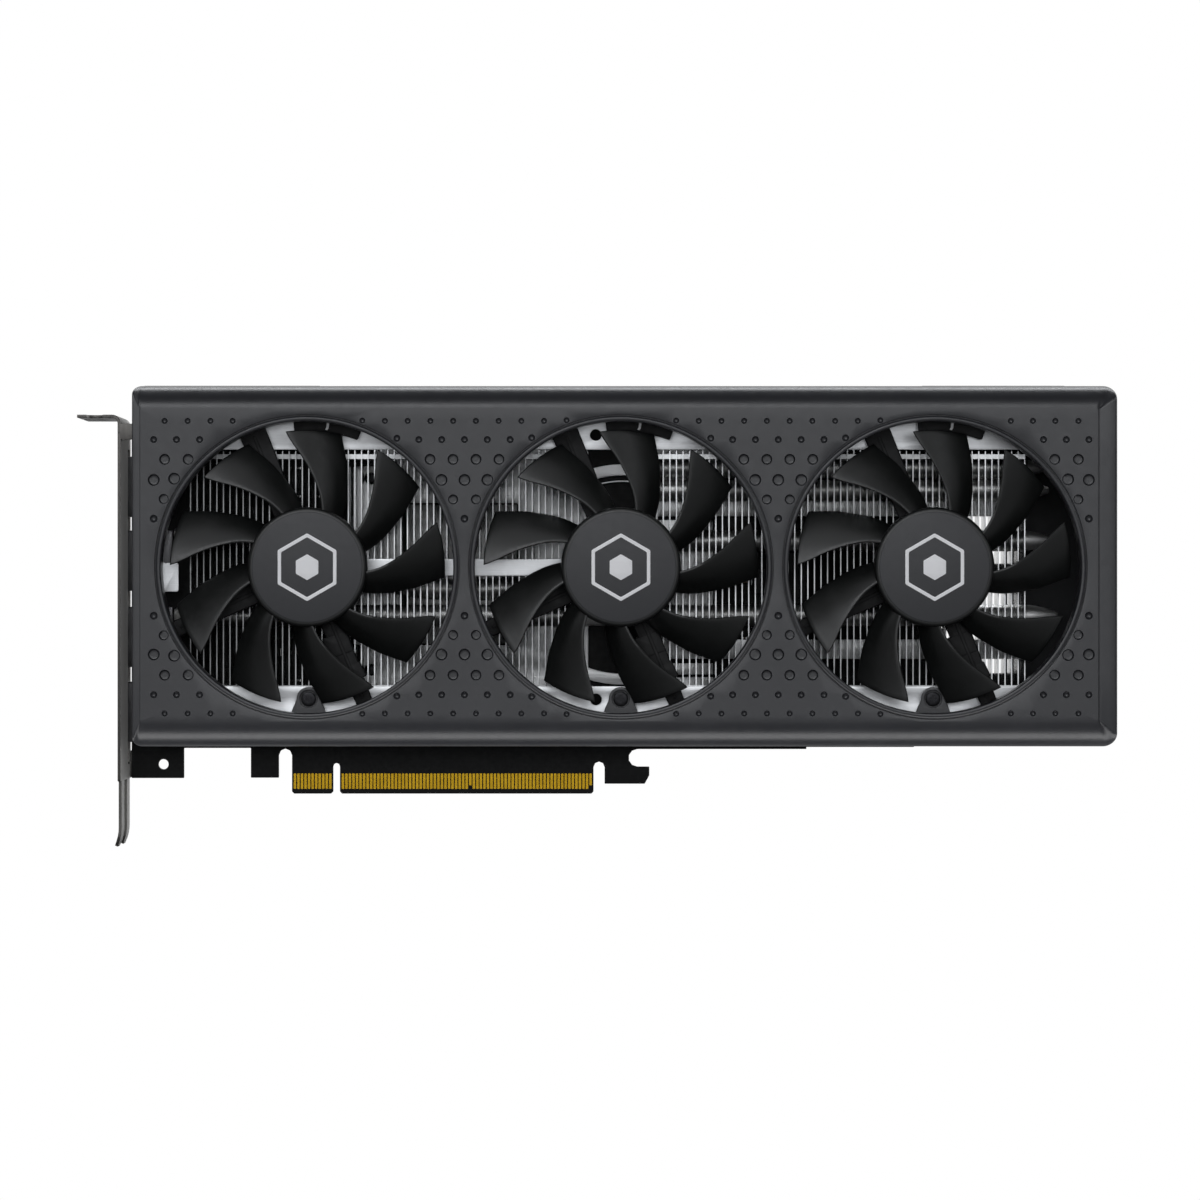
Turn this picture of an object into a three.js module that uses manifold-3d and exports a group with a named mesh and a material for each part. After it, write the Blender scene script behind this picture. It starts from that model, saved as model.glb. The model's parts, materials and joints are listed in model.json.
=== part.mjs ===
// Dual-slot graphics card with three axial fans.
//
// Frame: +X runs along the card away from the input/output bracket, -Y is the
// fan side, +Z points away from the slot. The origin is the middle of the long
// contact section's bottom edge, half way through the circuit board.
// In names and comments left is -X, right +X, front -Y, back +Y, low -Z, top +Z.
// All lengths are in millimetres and all angles in degrees.

import * as THREE from 'three';
import { mergeVertices } from 'three/addons/utils/BufferGeometryUtils.js';
import Module from 'manifold-3d';

const wasm = await Module();
wasm.setup();

// ---------------------------------------------------------- shared dimensions

// A span is a [low, high] pair along one axis.
const about = (middle, half) => [middle - half, middle + half];
const grow = ([low, high], margin) => [low - margin, high + margin];

// circuit board
const BOARD_THICK = 1.57;
const BOARD_FRONT = -BOARD_THICK / 2;
const BOARD_BACK = BOARD_THICK / 2;
const SEAT = BOARD_FRONT - 0.1;      // back of the parts on the board's front
const FOOT_HOLE = [-85.7, 8.3];      // bracket screw hole, X and Z
const FOOT_HOLE_R = 1.45;

// graphics processor and the four screws around it
const GPU_X = 0;
const GPU_Z = 62;
const SCREW_OFFSET = 27;
const SCREW_SPOTS = [[-1, -1], [1, -1], [1, 1], [-1, 1]]
  .map(([a, b]) => [GPU_X + a * SCREW_OFFSET, GPU_Z + b * SCREW_OFFSET]);

// power socket
const POWER_X = [70, 90.6];
const POWER_Y = [-13.6, SEAT];
const POWER_Z = [97.6, 112.6];

// fans
const SIDES = ['left', 'center', 'right'];
const FAN_Z = 63.81;
const FAN_PITCH = 86.91;
const FAN_X = SIDES.map((_, i) => -43.46 + i * FAN_PITCH);
const STRUT_ANGLES = [112.6, 205, 292.5];
const EAR_R = 44.2;                  // from the fan's axis to its screw ears
const TAB_SCREW_Z = FAN_Z - 36.65;   // screws in the cover's inward tabs

// ------------------------------------------------------------------- helpers

const DEG = Math.PI / 180;
const vector = ([a, b]) => new THREE.Vector2(a, b);
const polar = (r, angle) => [r * Math.cos(angle * DEG), r * Math.sin(angle * DEG)];
const EAR_SPOTS = STRUT_ANGLES.map((angle) => polar(EAR_R, angle));

const rect = ([a0, a1], [b0, b1]) => [[a0, b0], [a1, b0], [a1, b1], [a0, b1]];

function arc([a, b], r, start, end, steps) {
  return Array.from({ length: steps + 1 }, (_, i) => {
    const [da, db] = polar(r, start + ((end - start) * i) / steps);
    return [a + da, b + db];
  });
}

function ring([a, b], r, sides, phase = 0) {
  return Array.from({ length: sides }, (_, i) => {
    const turn = phase + (i / sides) * 2 * Math.PI;
    return [a + r * Math.cos(turn), b + r * Math.sin(turn)];
  });
}

function prism(points, depth, holes = []) {
  const shape = new THREE.Shape(points.map(vector));
  for (const hole of holes) shape.holes.push(new THREE.Path(hole.map(vector)));
  return new THREE.ExtrudeGeometry(shape, { depth, steps: 1, bevelEnabled: false });
}

// outline in Y,Z; thickness along X
function alongX(points, [x0, x1], holes) {
  const turn = new THREE.Matrix4().makeBasis(
    new THREE.Vector3(0, 1, 0), new THREE.Vector3(0, 0, 1), new THREE.Vector3(1, 0, 0));
  return prism(points, x1 - x0, holes).applyMatrix4(turn).translate(x0, 0, 0);
}

// outline in X,Z; thickness along Y
function alongY(points, [y0, y1], holes) {
  return prism(points, y1 - y0, holes).rotateX(Math.PI / 2).translate(0, y1, 0);
}

// outline in X,Y; thickness along Z
function alongZ(points, [z0, z1]) {
  return prism(points, z1 - z0).translate(0, 0, z0);
}

function block([x0, x1], [y0, y1], [z0, z1]) {
  return new THREE.BoxGeometry(x1 - x0, y1 - y0, z1 - z0)
    .translate((x0 + x1) / 2, (y0 + y1) / 2, (z0 + z1) / 2);
}

// profile of [radius, y] pairs turned about the Y axis
const turned = (profile, sides) => new THREE.LatheGeometry(profile.map(vector), sides);
const rod = (r, [y0, y1], sides) => turned([[0, y0], [r, y0], [r, y1], [0, y1]], sides);
const tube = (r0, r1, [y0, y1], sides) =>
  turned([[r0, y0], [r1, y0], [r1, y1], [r0, y1], [r0, y0]], sides);

// Turns closed geometry into a solid that can be joined and cut; solids pass through.
function solid(shape) {
  if (shape.getMesh) return shape;
  for (const key of Object.keys(shape.attributes)) {
    if (key !== 'position') shape.deleteAttribute(key);
  }
  const merged = mergeVertices(shape, 1e-4);
  const coords = merged.attributes.position.array;
  const index = merged.index.array;
  const corner = (k) => new THREE.Vector3().fromArray(coords, 3 * k);
  const triangles = [];
  let volume = 0;
  for (let i = 0; i < merged.index.count; i += 3) {
    const [a, b, c] = [index[i], index[i + 1], index[i + 2]];
    if (a === b || b === c || a === c) continue;
    triangles.push(a, b, c);
    volume += corner(a).dot(corner(b).cross(corner(c))) / 6;
  }
  // a negative volume means the faces point inwards
  if (volume < 0) {
    for (let i = 0; i < triangles.length; i += 3) {
      [triangles[i], triangles[i + 1]] = [triangles[i + 1], triangles[i]];
    }
  }
  return new wasm.Manifold(new wasm.Mesh({
    numProp: 3,
    vertProperties: Float32Array.from(coords),
    triVerts: Uint32Array.from(triangles),
  }));
}

const join = (first, ...rest) => rest.reduce((sum, next) => sum.add(solid(next)), solid(first));
const cut = (first, ...rest) =>
  rest.reduce((left, tool) => left.subtract(solid(tool)), solid(first));

function surface(shape) {
  const { vertProperties, triVerts } = solid(shape).getMesh();
  const geometry = new THREE.BufferGeometry();
  const positions = new THREE.BufferAttribute(Float32Array.from(vertProperties), 3);
  geometry.setAttribute('position', positions);
  geometry.setIndex(new THREE.BufferAttribute(Uint32Array.from(triVerts), 1));
  geometry.computeVertexNormals();
  return geometry;
}

const group = new THREE.Group();

function addMesh(name, geometry, material, parent) {
  const mesh = new THREE.Mesh(geometry, material);
  mesh.name = name;
  parent.add(mesh);
}
const piece = (name, shape, material) => addMesh(name, surface(shape), material, group);

// ----------------------------------------------------------------- materials

const paint = (settings) => new THREE.MeshStandardMaterial(settings);
const MATERIAL = {
  cover: paint({ color: 0x46474b, roughness: 0.45, metalness: 0 }),
  black: paint({ color: 0x121314, roughness: 0.5, metalness: 0 }),
  board: paint({ color: 0x0e0f10, roughness: 0.55, metalness: 0 }),
  gold: paint({ color: 0xc9a13a, roughness: 0.3, metalness: 1 }),
  bracket: paint({ color: 0x4c4e52, roughness: 0.4, metalness: 0.7 }),
  backplate: paint({ color: 0x1d1e20, roughness: 0.45, metalness: 0.4 }),
  fins: paint({ color: 0xb9bcbf, roughness: 0.35, metalness: 1 }),
  sheet: paint({ color: 0xc9cccd, roughness: 0.4, metalness: 0.9 }),
  nickel: paint({ color: 0xa9a9a6, roughness: 0.25, metalness: 1 }),
  steel: paint({ color: 0xa8aaad, roughness: 0.3, metalness: 1 }),
  magnet: paint({ color: 0x2c2d2f, roughness: 0.6, metalness: 0.3 }),
  bronze: paint({ color: 0x8a6a3b, roughness: 0.5, metalness: 0.9 }),
  label: paint({ color: 0x4a4b50, roughness: 0.4, metalness: 0 }),
  chip: paint({ color: 0x17181a, roughness: 0.5, metalness: 0 }),
  silicon: paint({ color: 0x5a6068, roughness: 0.15, metalness: 0.4 }),
  substrate: paint({ color: 0x1d4a33, roughness: 0.5, metalness: 0 }),
  pad: paint({ color: 0x8a8f96, roughness: 0.8, metalness: 0 }),
  screw: paint({ color: 0x2a2b2d, roughness: 0.35, metalness: 0.9 }),
};

// --------------------------------------------------------------------- board

const BOARD_LEFT = -94.7;
const BOARD_RIGHT = 96;
const BOARD_TOP = 104.5;
const BOARD_LOW = 12.9;              // lower edge away from the contacts
const LONG_HALF = 35.825;            // half length of the long contact section
const KEY_LEFT = -LONG_HALF - 1.9;   // key notch between the contact sections
const SHORT_LEFT = -49.375;          // start of the short contact section
const LEFT_NOTCH_X = -53.1;          // far side of the notch left of the contacts
const RIGHT_NOTCH_X = 38.96;         // far side of the notch right of the contacts
const CHAMFER = 0.6;

// rounded top of a notch, from its left side to its right
const notchTop = (x0, x1, z) => arc([(x0 + x1) / 2, z], (x1 - x0) / 2, 180, 0, 4);

// X and Z, along the lower edge from the left, then round the top
const BOARD_OUTLINE = [
  [BOARD_LEFT, 4.4], [-79.9, 4.4], [-79.9, BOARD_LOW], [-61.0, BOARD_LOW], [-61.0, 4.5],
  [LEFT_NOTCH_X, 4.5], ...notchTop(LEFT_NOTCH_X, SHORT_LEFT, 10.84),
  [SHORT_LEFT, CHAMFER], [SHORT_LEFT + CHAMFER, 0],
  [KEY_LEFT - CHAMFER, 0], [KEY_LEFT, CHAMFER],
  ...notchTop(KEY_LEFT, -LONG_HALF, 7.7),
  [-LONG_HALF, CHAMFER], [-LONG_HALF + CHAMFER, 0],
  [LONG_HALF - CHAMFER, 0], [LONG_HALF, CHAMFER],
  ...notchTop(LONG_HALF, RIGHT_NOTCH_X, 7.48),
  [RIGHT_NOTCH_X, 2.8], [50.3, 2.8], [51.6, 5.2], [51.6, 7.65],
  ...arc([48.2, 10.12], 2.47, 270, 90, 5),
  [BOARD_RIGHT, 12.6], [BOARD_RIGHT, BOARD_TOP], [BOARD_LEFT, BOARD_TOP],
];
piece('pcb', alongY(BOARD_OUTLINE, [BOARD_FRONT, BOARD_BACK], [
  ring(FOOT_HOLE, FOOT_HOLE_R, 16),
  ...SCREW_SPOTS.map((spot) => ring(spot, 1.8, 12)),
]), MATERIAL.board);

// Gold contacts: the pads of each section are one plated band on each side.
const CONTACT_PITCH = 1.0;
const CONTACT_W = 0.7;
const CONTACT_Z = [1.35, 5.7];
const CONTACT_THICK = 0.05;
const CONTACT_INSET = 0.475;         // from the section's left edge to its first pad

for (const [side, span] of [
  ['front', [BOARD_FRONT - CONTACT_THICK, BOARD_FRONT]],
  ['back', [BOARD_BACK, BOARD_BACK + CONTACT_THICK]],
]) {
  for (const [section, left, count] of [['long', -LONG_HALF, 71], ['short', SHORT_LEFT, 11]]) {
    const x = left + CONTACT_INSET;
    const band = block([x, x + (count - 1) * CONTACT_PITCH + CONTACT_W], span, CONTACT_Z);
    piece(`edge_contacts_${side}_${section}`, band, MATERIAL.gold);
  }
}

// ---------------------------------------- processor, memory and thermal pads

const CHIP_FRONT = -2.0;
const CHIP_Y = [CHIP_FRONT, SEAT];
const DIE_Y = [-2.8, CHIP_FRONT];
const SUBSTRATE_HALF = 17.5;
const DIE_HALF = [8, 7.5];           // X, Z
const MEMORY_OFFSET = [27, 9.5];     // X, Z from the processor's centre
const MEMORY_HALF = [6, 7];
const PAD_Y = [-3.05, -2.05];

piece('gpu_substrate',
  block(about(GPU_X, SUBSTRATE_HALF), CHIP_Y, about(GPU_Z, SUBSTRATE_HALF)), MATERIAL.substrate);
piece('gpu_die',
  block(about(GPU_X, DIE_HALF[0]), DIE_Y, about(GPU_Z, DIE_HALF[1])), MATERIAL.silicon);

[[-1, -1], [-1, 1], [1, -1], [1, 1]].forEach(([a, b], i) => {
  const spanX = about(GPU_X + a * MEMORY_OFFSET[0], MEMORY_HALF[0]);
  const spanZ = about(GPU_Z + b * MEMORY_OFFSET[1], MEMORY_HALF[1]);
  piece(`memory_chip_${i + 1}`, block(spanX, CHIP_Y, spanZ), MATERIAL.chip);
});

// one pad covers the two memory chips on each side
for (const [side, sign] of [['left', -1], ['right', 1]]) {
  piece(`thermal_pad_${side}`, block(
    about(GPU_X + sign * MEMORY_OFFSET[0], MEMORY_HALF[0]), PAD_Y,
    about(GPU_Z, MEMORY_OFFSET[1] + MEMORY_HALF[1])), MATERIAL.pad);
}

// -------------------------------------------------------------- power socket

// open-topped box with a ridge across the front wall
function powerConnector() {
  const wall = 1.1;
  const cavityDepth = 11;
  const [front] = POWER_Y;
  const top = POWER_Z[1];
  const box = cut(block(POWER_X, POWER_Y, POWER_Z),
    block(grow(POWER_X, -wall), grow(POWER_Y, -wall), [top - cavityDepth, top + 1]));
  const middle = (POWER_X[0] + POWER_X[1]) / 2;
  return join(box, block(about(middle, 2), [front - 1.6, front + 0.2], [top - 7, top - 4.6]));
}
piece('power_connector', powerConnector(), MATERIAL.black);

// ------------------------------------------------------------------- bracket

const BRACKET_IN = -95.2;            // right face, towards the card
const BRACKET_T = 0.86;
const BRACKET_OUT = BRACKET_IN - BRACKET_T;
const BRACKET_Y = [-35.5, 3.2];
const BRACKET_TOP = 106.1;
const BRACKET_TIP = BRACKET_TOP - 120;
const BRACKET_WINDOW = rect([-7.9, -0.45], [8.5, 97.1]);
const TAB_LEFT = BRACKET_OUT - 11.23;
const NOTCH_X = BRACKET_OUT - 6.35;
const NOTCH_R = 2.21;
const SIDE_NOTCH_Y = -14.6;
const FRONT_NOTCH_Y = -33.2;
const SLOT_PITCH = 20.32;
const TONGUE_W = 10.19;
const TONGUE_Y = -6.0;               // centre of the tongue nearest the board
const FOOT_GAP = 0.1;                // between the board's back and the foot
const BEND_X = BRACKET_IN - 0.4;     // where the foot and ear meet the bracket

// X and Z of the top bend and the tab that the chassis screws hold
const TOP_TAB = [
  [BRACKET_OUT, 100.5], [BRACKET_OUT, 104.5],
  [BRACKET_OUT - 0.7, BRACKET_TOP - BRACKET_T], [TAB_LEFT, BRACKET_TOP - BRACKET_T],
  [TAB_LEFT, BRACKET_TOP], [BRACKET_OUT - 0.3, BRACKET_TOP],
  [BRACKET_IN, 104.8], [BRACKET_IN, 100.5],
];
// X and Z of a tongue that drops into a chassis slot
const TONGUE = [
  [BRACKET_IN, 4.8], [BRACKET_IN, -9], [BRACKET_IN - 0.7, -13.4],
  [BRACKET_IN - 1.1, BRACKET_TIP], [BRACKET_OUT - 0.8, BRACKET_TIP + 0.2],
  [BRACKET_OUT - 0.7, -13.2], [BRACKET_OUT, -9], [BRACKET_OUT, 4.8],
];

function bracket() {
  const plate = alongX(rect(BRACKET_Y, [4.4, 101]), [BRACKET_OUT, BRACKET_IN], [BRACKET_WINDOW]);
  // X and Y of the notches in the tab's left and front edges
  const sideNotch = [
    ...arc([NOTCH_X, SIDE_NOTCH_Y], NOTCH_R, 270, 90, 8),
    [NOTCH_X - 12, SIDE_NOTCH_Y + NOTCH_R], [NOTCH_X - 12, SIDE_NOTCH_Y - NOTCH_R],
  ];
  const frontNotch = [
    ...arc([NOTCH_X, FRONT_NOTCH_Y], NOTCH_R, 0, 180, 8),
    [NOTCH_X - NOTCH_R, -40], [NOTCH_X + NOTCH_R, -40],
  ];
  const notched = cut(join(plate, alongY(TOP_TAB, BRACKET_Y)),
    alongZ(sideNotch, [104, 108]), alongZ(frontNotch, [104, 108]));
  const tongues = [TONGUE_Y, TONGUE_Y - SLOT_PITCH]
    .map((y) => alongY(TONGUE, about(y, TONGUE_W / 2)));
  const footFront = BOARD_BACK + FOOT_GAP;
  const foot = alongY(rect([BEND_X, -81.2], [4.6, 12.2]), [footFront, footFront + BRACKET_T],
    [ring(FOOT_HOLE, FOOT_HOLE_R, 16)]);
  // ear tucked behind the cover's face
  const ear = block([BEND_X, -86.4], [BRACKET_Y[0], BRACKET_Y[0] + BRACKET_T], [99.2, 103.6]);
  return join(notched, ...tongues, foot, ear);
}
piece('io_bracket', bracket(), MATERIAL.bracket);

// ----------------------------------------------------------- display sockets

const SOCKET_X = [-97.0, -82.6];
const CAVITY_X = [-98, -86.5];       // starts outside the socket's open left end
const SOCKET_HALF = 8.5;
// cavity outlines: Y, and Z from the socket's middle
const DISPLAY_PORT = {
  front: -7.5,
  cavity: [[-6.5, -7.9], [-1.9, -7.9], [-1.9, 7.9], [-4.6, 7.9], [-6.5, 6.2]],
};
const HDMI = {
  front: -7.0,
  cavity: [[-6.2, -7.1], [-3.4, -7.1], [-1.8, -5.6], [-1.8, 5.6], [-3.4, 7.1], [-6.2, 7.1]],
};
for (const [name, middle, { front, cavity }] of [
  ['display_port_1', 86.6, DISPLAY_PORT],
  ['display_port_2', 65.8, DISPLAY_PORT],
  ['display_port_3', 44.3, DISPLAY_PORT],
  ['hdmi_port', 23.2, HDMI],
]) {
  const outline = cavity.map(([y, z]) => [y, middle + z]);
  piece(name, cut(block(SOCKET_X, [front, SEAT], about(middle, SOCKET_HALF)),
    alongX(outline, CAVITY_X)), MATERIAL.steel);
}

// --------------------------------------------------------------------- cover

const FACE_Y = -38;
const SKIN = 2;
const COVER_BACK = -1.6;
const COVER_LEFT = -92;
const COVER_RIGHT = 180.7;
const COVER_TOP = 113.9;
const COVER_LOW = 13.4;
const TOP_R = 6.4;                   // rounded long edge, top
const LOW_R = 7.6;                   // rounded long edge, bottom
const END_R = 5.6;                   // rounded right end
const LEFT_R = 2.4;
const CORNER_R = 5;                  // right corners seen from the front

const RIB_PROUD = 0.4;
const RIBS_X = [[-89.6, -40], [127, 167]];
const VENT_Y = [-23, -9];
const TOP_VENTS_X = [[-82, -46], [-36, 12], [20, 60], [100, 120]];
const LOW_VENTS_X = [[-82, -46], [-36, 12], [22, 70], [80, 120], [130, 168]];

const FACE_HOLE_R = 41.2;
const OPENING_R = 40.52;
const LIP_R = 41.96;
const LIP_PROUD = 0.4;
const DUCT_BACK = -28.2;
const POST_R = 2.4;
const TAB_HALF = 4;
const TAB_END_R = 3.35;
const TAB_Y = [DUCT_BACK - 0.3, -26.2];

// Rounded block; `inset` shrinks it to the inside of the skin.
function coverBlock(inset, back, left) {
  const face = FACE_Y + inset;
  const top = COVER_TOP - inset;
  const low = COVER_LOW + inset;
  const right = COVER_RIGHT - inset;
  const topR = TOP_R - inset;
  const lowR = LOW_R - inset;
  const endR = END_R - inset;
  const leftR = Math.max(LEFT_R - inset, 0.4);
  const cornerR = CORNER_R - inset;
  const section = [
    ...arc([face + lowR, low + lowR], lowR, 270, 180, 3),
    ...arc([face + topR, top - topR], topR, 180, 90, 3),
    [back, top], [back, low],
  ];
  const plan = [
    [left, back], ...arc([left + leftR, face + leftR], leftR, 180, 270, 2),
    ...arc([right - endR, face + endR], endR, 270, 360, 2), [right, back],
  ];
  const front = [
    [left, low], ...arc([right - cornerR, low + cornerR], cornerR, 270, 360, 2),
    ...arc([right - cornerR, top - cornerR], cornerR, 0, 90, 2), [left, top],
  ];
  return solid(alongX(section, [left - 5, right + 5]))
    .intersect(solid(alongZ(plan, [low - 5, top + 5])))
    .intersect(solid(alongY(front, [face - 5, back + 5])));
}

// lip, screw posts and the low inward tab with its stepped hole, for the fan at x
function addFanMount(cover, x) {
  const tab = alongY([
    [x - TAB_HALF, FAN_Z - OPENING_R - 0.6], [x + TAB_HALF, FAN_Z - OPENING_R - 0.6],
    ...arc([x, TAB_SCREW_Z], TAB_END_R, 0, 180, 6),
  ], TAB_Y);
  const mounted = join(cover,
    tube(OPENING_R, LIP_R, [FACE_Y - LIP_PROUD, DUCT_BACK], 36).translate(x, 0, FAN_Z),
    ...EAR_SPOTS.map(([dx, dz]) =>
      rod(POST_R, [FACE_Y + 1, DUCT_BACK], 8).translate(x + dx, 0, FAN_Z + dz)),
    tab);
  return cut(mounted,
    rod(1.4, [-30, -20], 8).translate(x, 0, TAB_SCREW_Z),
    rod(2.4, [-30, -27.3], 12).translate(x, 0, TAB_SCREW_Z));
}

function shroud() {
  const topWall = [COVER_TOP - 4, COVER_TOP + 2];
  const lowWall = [COVER_LOW - 2, COVER_LOW + 4];
  const ribs = RIBS_X.map((span) =>
    block(span, [-30, COVER_BACK], [COVER_TOP - 1, COVER_TOP + RIB_PROUD]));
  const openLeftEnd = block([COVER_LEFT - 2, COVER_LEFT + SKIN + 1],
    [FACE_Y + SKIN + 0.2, 4], [COVER_LOW + SKIN, COVER_TOP - SKIN]);
  const powerNotch = block(grow(POWER_X, 1.6), [-18, 4], topWall);
  const lowestSocketNotch = block([COVER_LEFT - 2, -81.6], [-8.2, 4], [COVER_LOW - 2, 20]);
  const shell = cut(join(coverBlock(0, COVER_BACK, COVER_LEFT), ...ribs),
    coverBlock(SKIN, 6, COVER_LEFT + SKIN),
    openLeftEnd,
    ...TOP_VENTS_X.map((span) => block(span, VENT_Y, topWall)),
    ...LOW_VENTS_X.map((span) => block(span, VENT_Y, lowWall)),
    powerNotch,
    lowestSocketNotch,
    ...FAN_X.map((x) =>
      rod(FACE_HOLE_R, [FACE_Y - 3, FACE_Y + SKIN + 3], 36).translate(x, 0, FAN_Z)));
  return FAN_X.reduce(addFanMount, shell);
}
piece('shroud', shroud(), MATERIAL.cover);

// radius and Y, head first
const SHROUD_SCREW = [
  [0, -28.2], [2.1, -28.2], [2.1, -27.5], [1.15, -27.5], [1.15, -22.6], [0, -22.6],
];
SIDES.forEach((side, i) => {
  piece(`shroud_screw_${side}`,
    turned(SHROUD_SCREW, 10).translate(FAN_X[i], 0, TAB_SCREW_Z), MATERIAL.screw);
});

// ----------------------------------------------------------------- backplate

const PLATE_Y = [2.3, 3.5];
const PLATE_LEFT = -91.8;
const PLATE_RIGHT = 180.5;
const PLATE_LOW = 13.6;
const PLATE_TOP = 113.7;
const PLATE_R = 5;
const FLANGE_T = 1.2;
const FLANGE_Y = [-1.2, PLATE_Y[0] + 0.5];
const WINDOW_X = [134, 152.5];
const WINDOWS_Z = [[34, 57], [65, 87]];

function backplate() {
  const right = PLATE_RIGHT - PLATE_R;
  const outline = [
    [PLATE_LEFT, PLATE_LOW], ...arc([right, PLATE_LOW + PLATE_R], PLATE_R, 270, 360, 3),
    ...arc([right, PLATE_TOP - PLATE_R], PLATE_R, 0, 90, 3), [PLATE_LEFT, PLATE_TOP],
  ];
  const holes = [
    ...SCREW_SPOTS.map((spot) => ring(spot, 4.6, 16)),
    ...WINDOWS_Z.map((span) => rect(WINDOW_X, span)),
  ];
  // flanges run forwards from the top edge and the right end
  return join(alongY(outline, PLATE_Y, holes),
    block([PLATE_LEFT, 66], FLANGE_Y, [PLATE_TOP - FLANGE_T, PLATE_TOP]),
    block([95, 175], FLANGE_Y, [PLATE_TOP - FLANGE_T, PLATE_TOP]),
    block([PLATE_RIGHT - FLANGE_T, PLATE_RIGHT], FLANGE_Y, [20, 107]));
}
piece('backplate', backplate(), MATERIAL.backplate);

// radius and Y, shank first
const SPRING_SCREW = [
  [0, -4.6], [1.4, -4.6], [1.4, BOARD_BACK + 0.1],
  [3.4, BOARD_BACK + 0.1], [3.4, BOARD_BACK + 1.9], [0, BOARD_BACK + 1.9],
];
SCREW_SPOTS.forEach(([x, z], i) => {
  piece(`spring_screw_${i + 1}`, turned(SPRING_SCREW, 12).translate(x, 0, z), MATERIAL.screw);
});

// ------------------------------------------------------------------ heatsink

const BASE_Y = [-5.1, -3.1];
const BASE_CUT_Y = [-6, -2];
const COLD_PLATE_X = [GPU_X - 19.7, GPU_X + 14.3];
const COLD_PLATE_Z = about(GPU_Z, 19.7);
const COLD_PLATE_GAP = 0.3;
const BRIDGE_CENTER = [43.9, 61.9];

// X and Z of the right plate, whose two arms run on under the right-hand fins
const RIGHT_PLATE = [
  [51, 26], [69.6, 26], [69.6, 33], [54, 33], [54, 33.7], [69.6, 33.7],
  [69.6, 36.9], [54, 36.9], [54, 38.1], [157, 38.1], [157, 43.6], [69.6, 43.6],
  [69.6, 77.3], [54, 77.3], [54, 78.3], [157, 78.3], [157, 83.2], [54, 83.2],
  [54, 84.2], [69.6, 84.2], [69.6, 97], [51, 97],
];

function heatsinkBase() {
  const leftPlate = cut(block([-32, 34.4], BASE_Y, [26, 97]),
    block([-33, -29.5], BASE_CUT_Y, [25, 42]),
    block([-33, -26], BASE_CUT_Y, [92.4, 98]),
    block(grow(COLD_PLATE_X, COLD_PLATE_GAP), BASE_CUT_Y, grow(COLD_PLATE_Z, COLD_PLATE_GAP)),
    ...SCREW_SPOTS.map(([x, z]) => rod(1.7, BASE_CUT_Y, 12).translate(x, 0, z)));
  // curved bridges join the plates, above and below
  const bridges = [1, -1].map((sign) => alongY([
    ...arc(BRIDGE_CENTER, 31.1, sign * 74.8, sign * 109.6, 6),
    ...arc(BRIDGE_CENTER, 27.9, sign * 111.6, sign * 73.0, 6),
  ], BASE_Y));
  return join(leftPlate, alongY(RIGHT_PLATE, BASE_Y), ...bridges);
}
piece('heatsink_base', heatsinkBase(), MATERIAL.sheet);
piece('cold_plate', block(COLD_PLATE_X, [BASE_Y[0], -2.85], COLD_PLATE_Z), MATERIAL.nickel);

const FIN_PITCH = 1.8333;
const FIN_T = 0.4;
const FIN_FRONT = -24.0;
const FIN_BACK = -11.4;
const FIN_Z = [29, 97];

// comb of fins joined by a web along their back
function finStack([left, right]) {
  const count = Math.floor((right - left) / FIN_PITCH) + 1;
  const web = FIN_BACK - FIN_T;
  const outline = [[left, FIN_BACK]];
  for (let i = 0; i < count; i++) {
    const x = left + i * FIN_PITCH;
    if (i > 0) outline.push([x, web]);
    outline.push([x, FIN_FRONT], [x + FIN_T, FIN_FRONT]);
    if (i < count - 1) outline.push([x + FIN_T, web]);
  }
  outline.push([left + (count - 1) * FIN_PITCH + FIN_T, FIN_BACK]);
  return alongZ(outline, FIN_Z);
}
piece('fin_stack_left', finStack([-76.7, 33.3]), MATERIAL.fins);
piece('fin_stack_right', finStack([51.5, 156.5]), MATERIAL.fins);

const PIPE_R = 3;
const PIPE_Y = -8.3;
const PIPE_SIDES = 8;
const PIPE_TENSION = 0.35;
// X and Z along each pipe; the first two cross the processor's cold plate
const PIPES = [
  [[-82.2, 50.4], [-30, 50.4], [0, 50.4], [30, 50.4], [90, 50.4], [166.5, 50.4]],
  [[-82.2, 72.8], [-60, 72.8], [-44, 71], [-22, 60.2], [-8, 57.9],
    [8, 57.9], [22, 60], [42, 71.4], [60, 71.4], [163.5, 71.4]],
  [[54, 85.6], [80, 85.6], [110, 85.6], [163, 85.6]],
  [[54, 91.9], [80, 91.9], [110, 91.9], [162, 91.9]],
];

function pipe(points) {
  const stations = points.map(([x, z]) => new THREE.Vector3(x, PIPE_Y, z));
  const extrudePath = new THREE.CatmullRomCurve3(stations, false, 'catmullrom', PIPE_TENSION);
  const section = ring([0, 0], PIPE_R, PIPE_SIDES, Math.PI / PIPE_SIDES);
  return new THREE.ExtrudeGeometry(new THREE.Shape(section.map(vector)),
    { steps: 16, extrudePath, bevelEnabled: false });
}
PIPES.forEach((points, i) => piece(`heat_pipe_${i + 1}`, pipe(points), MATERIAL.nickel));

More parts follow.
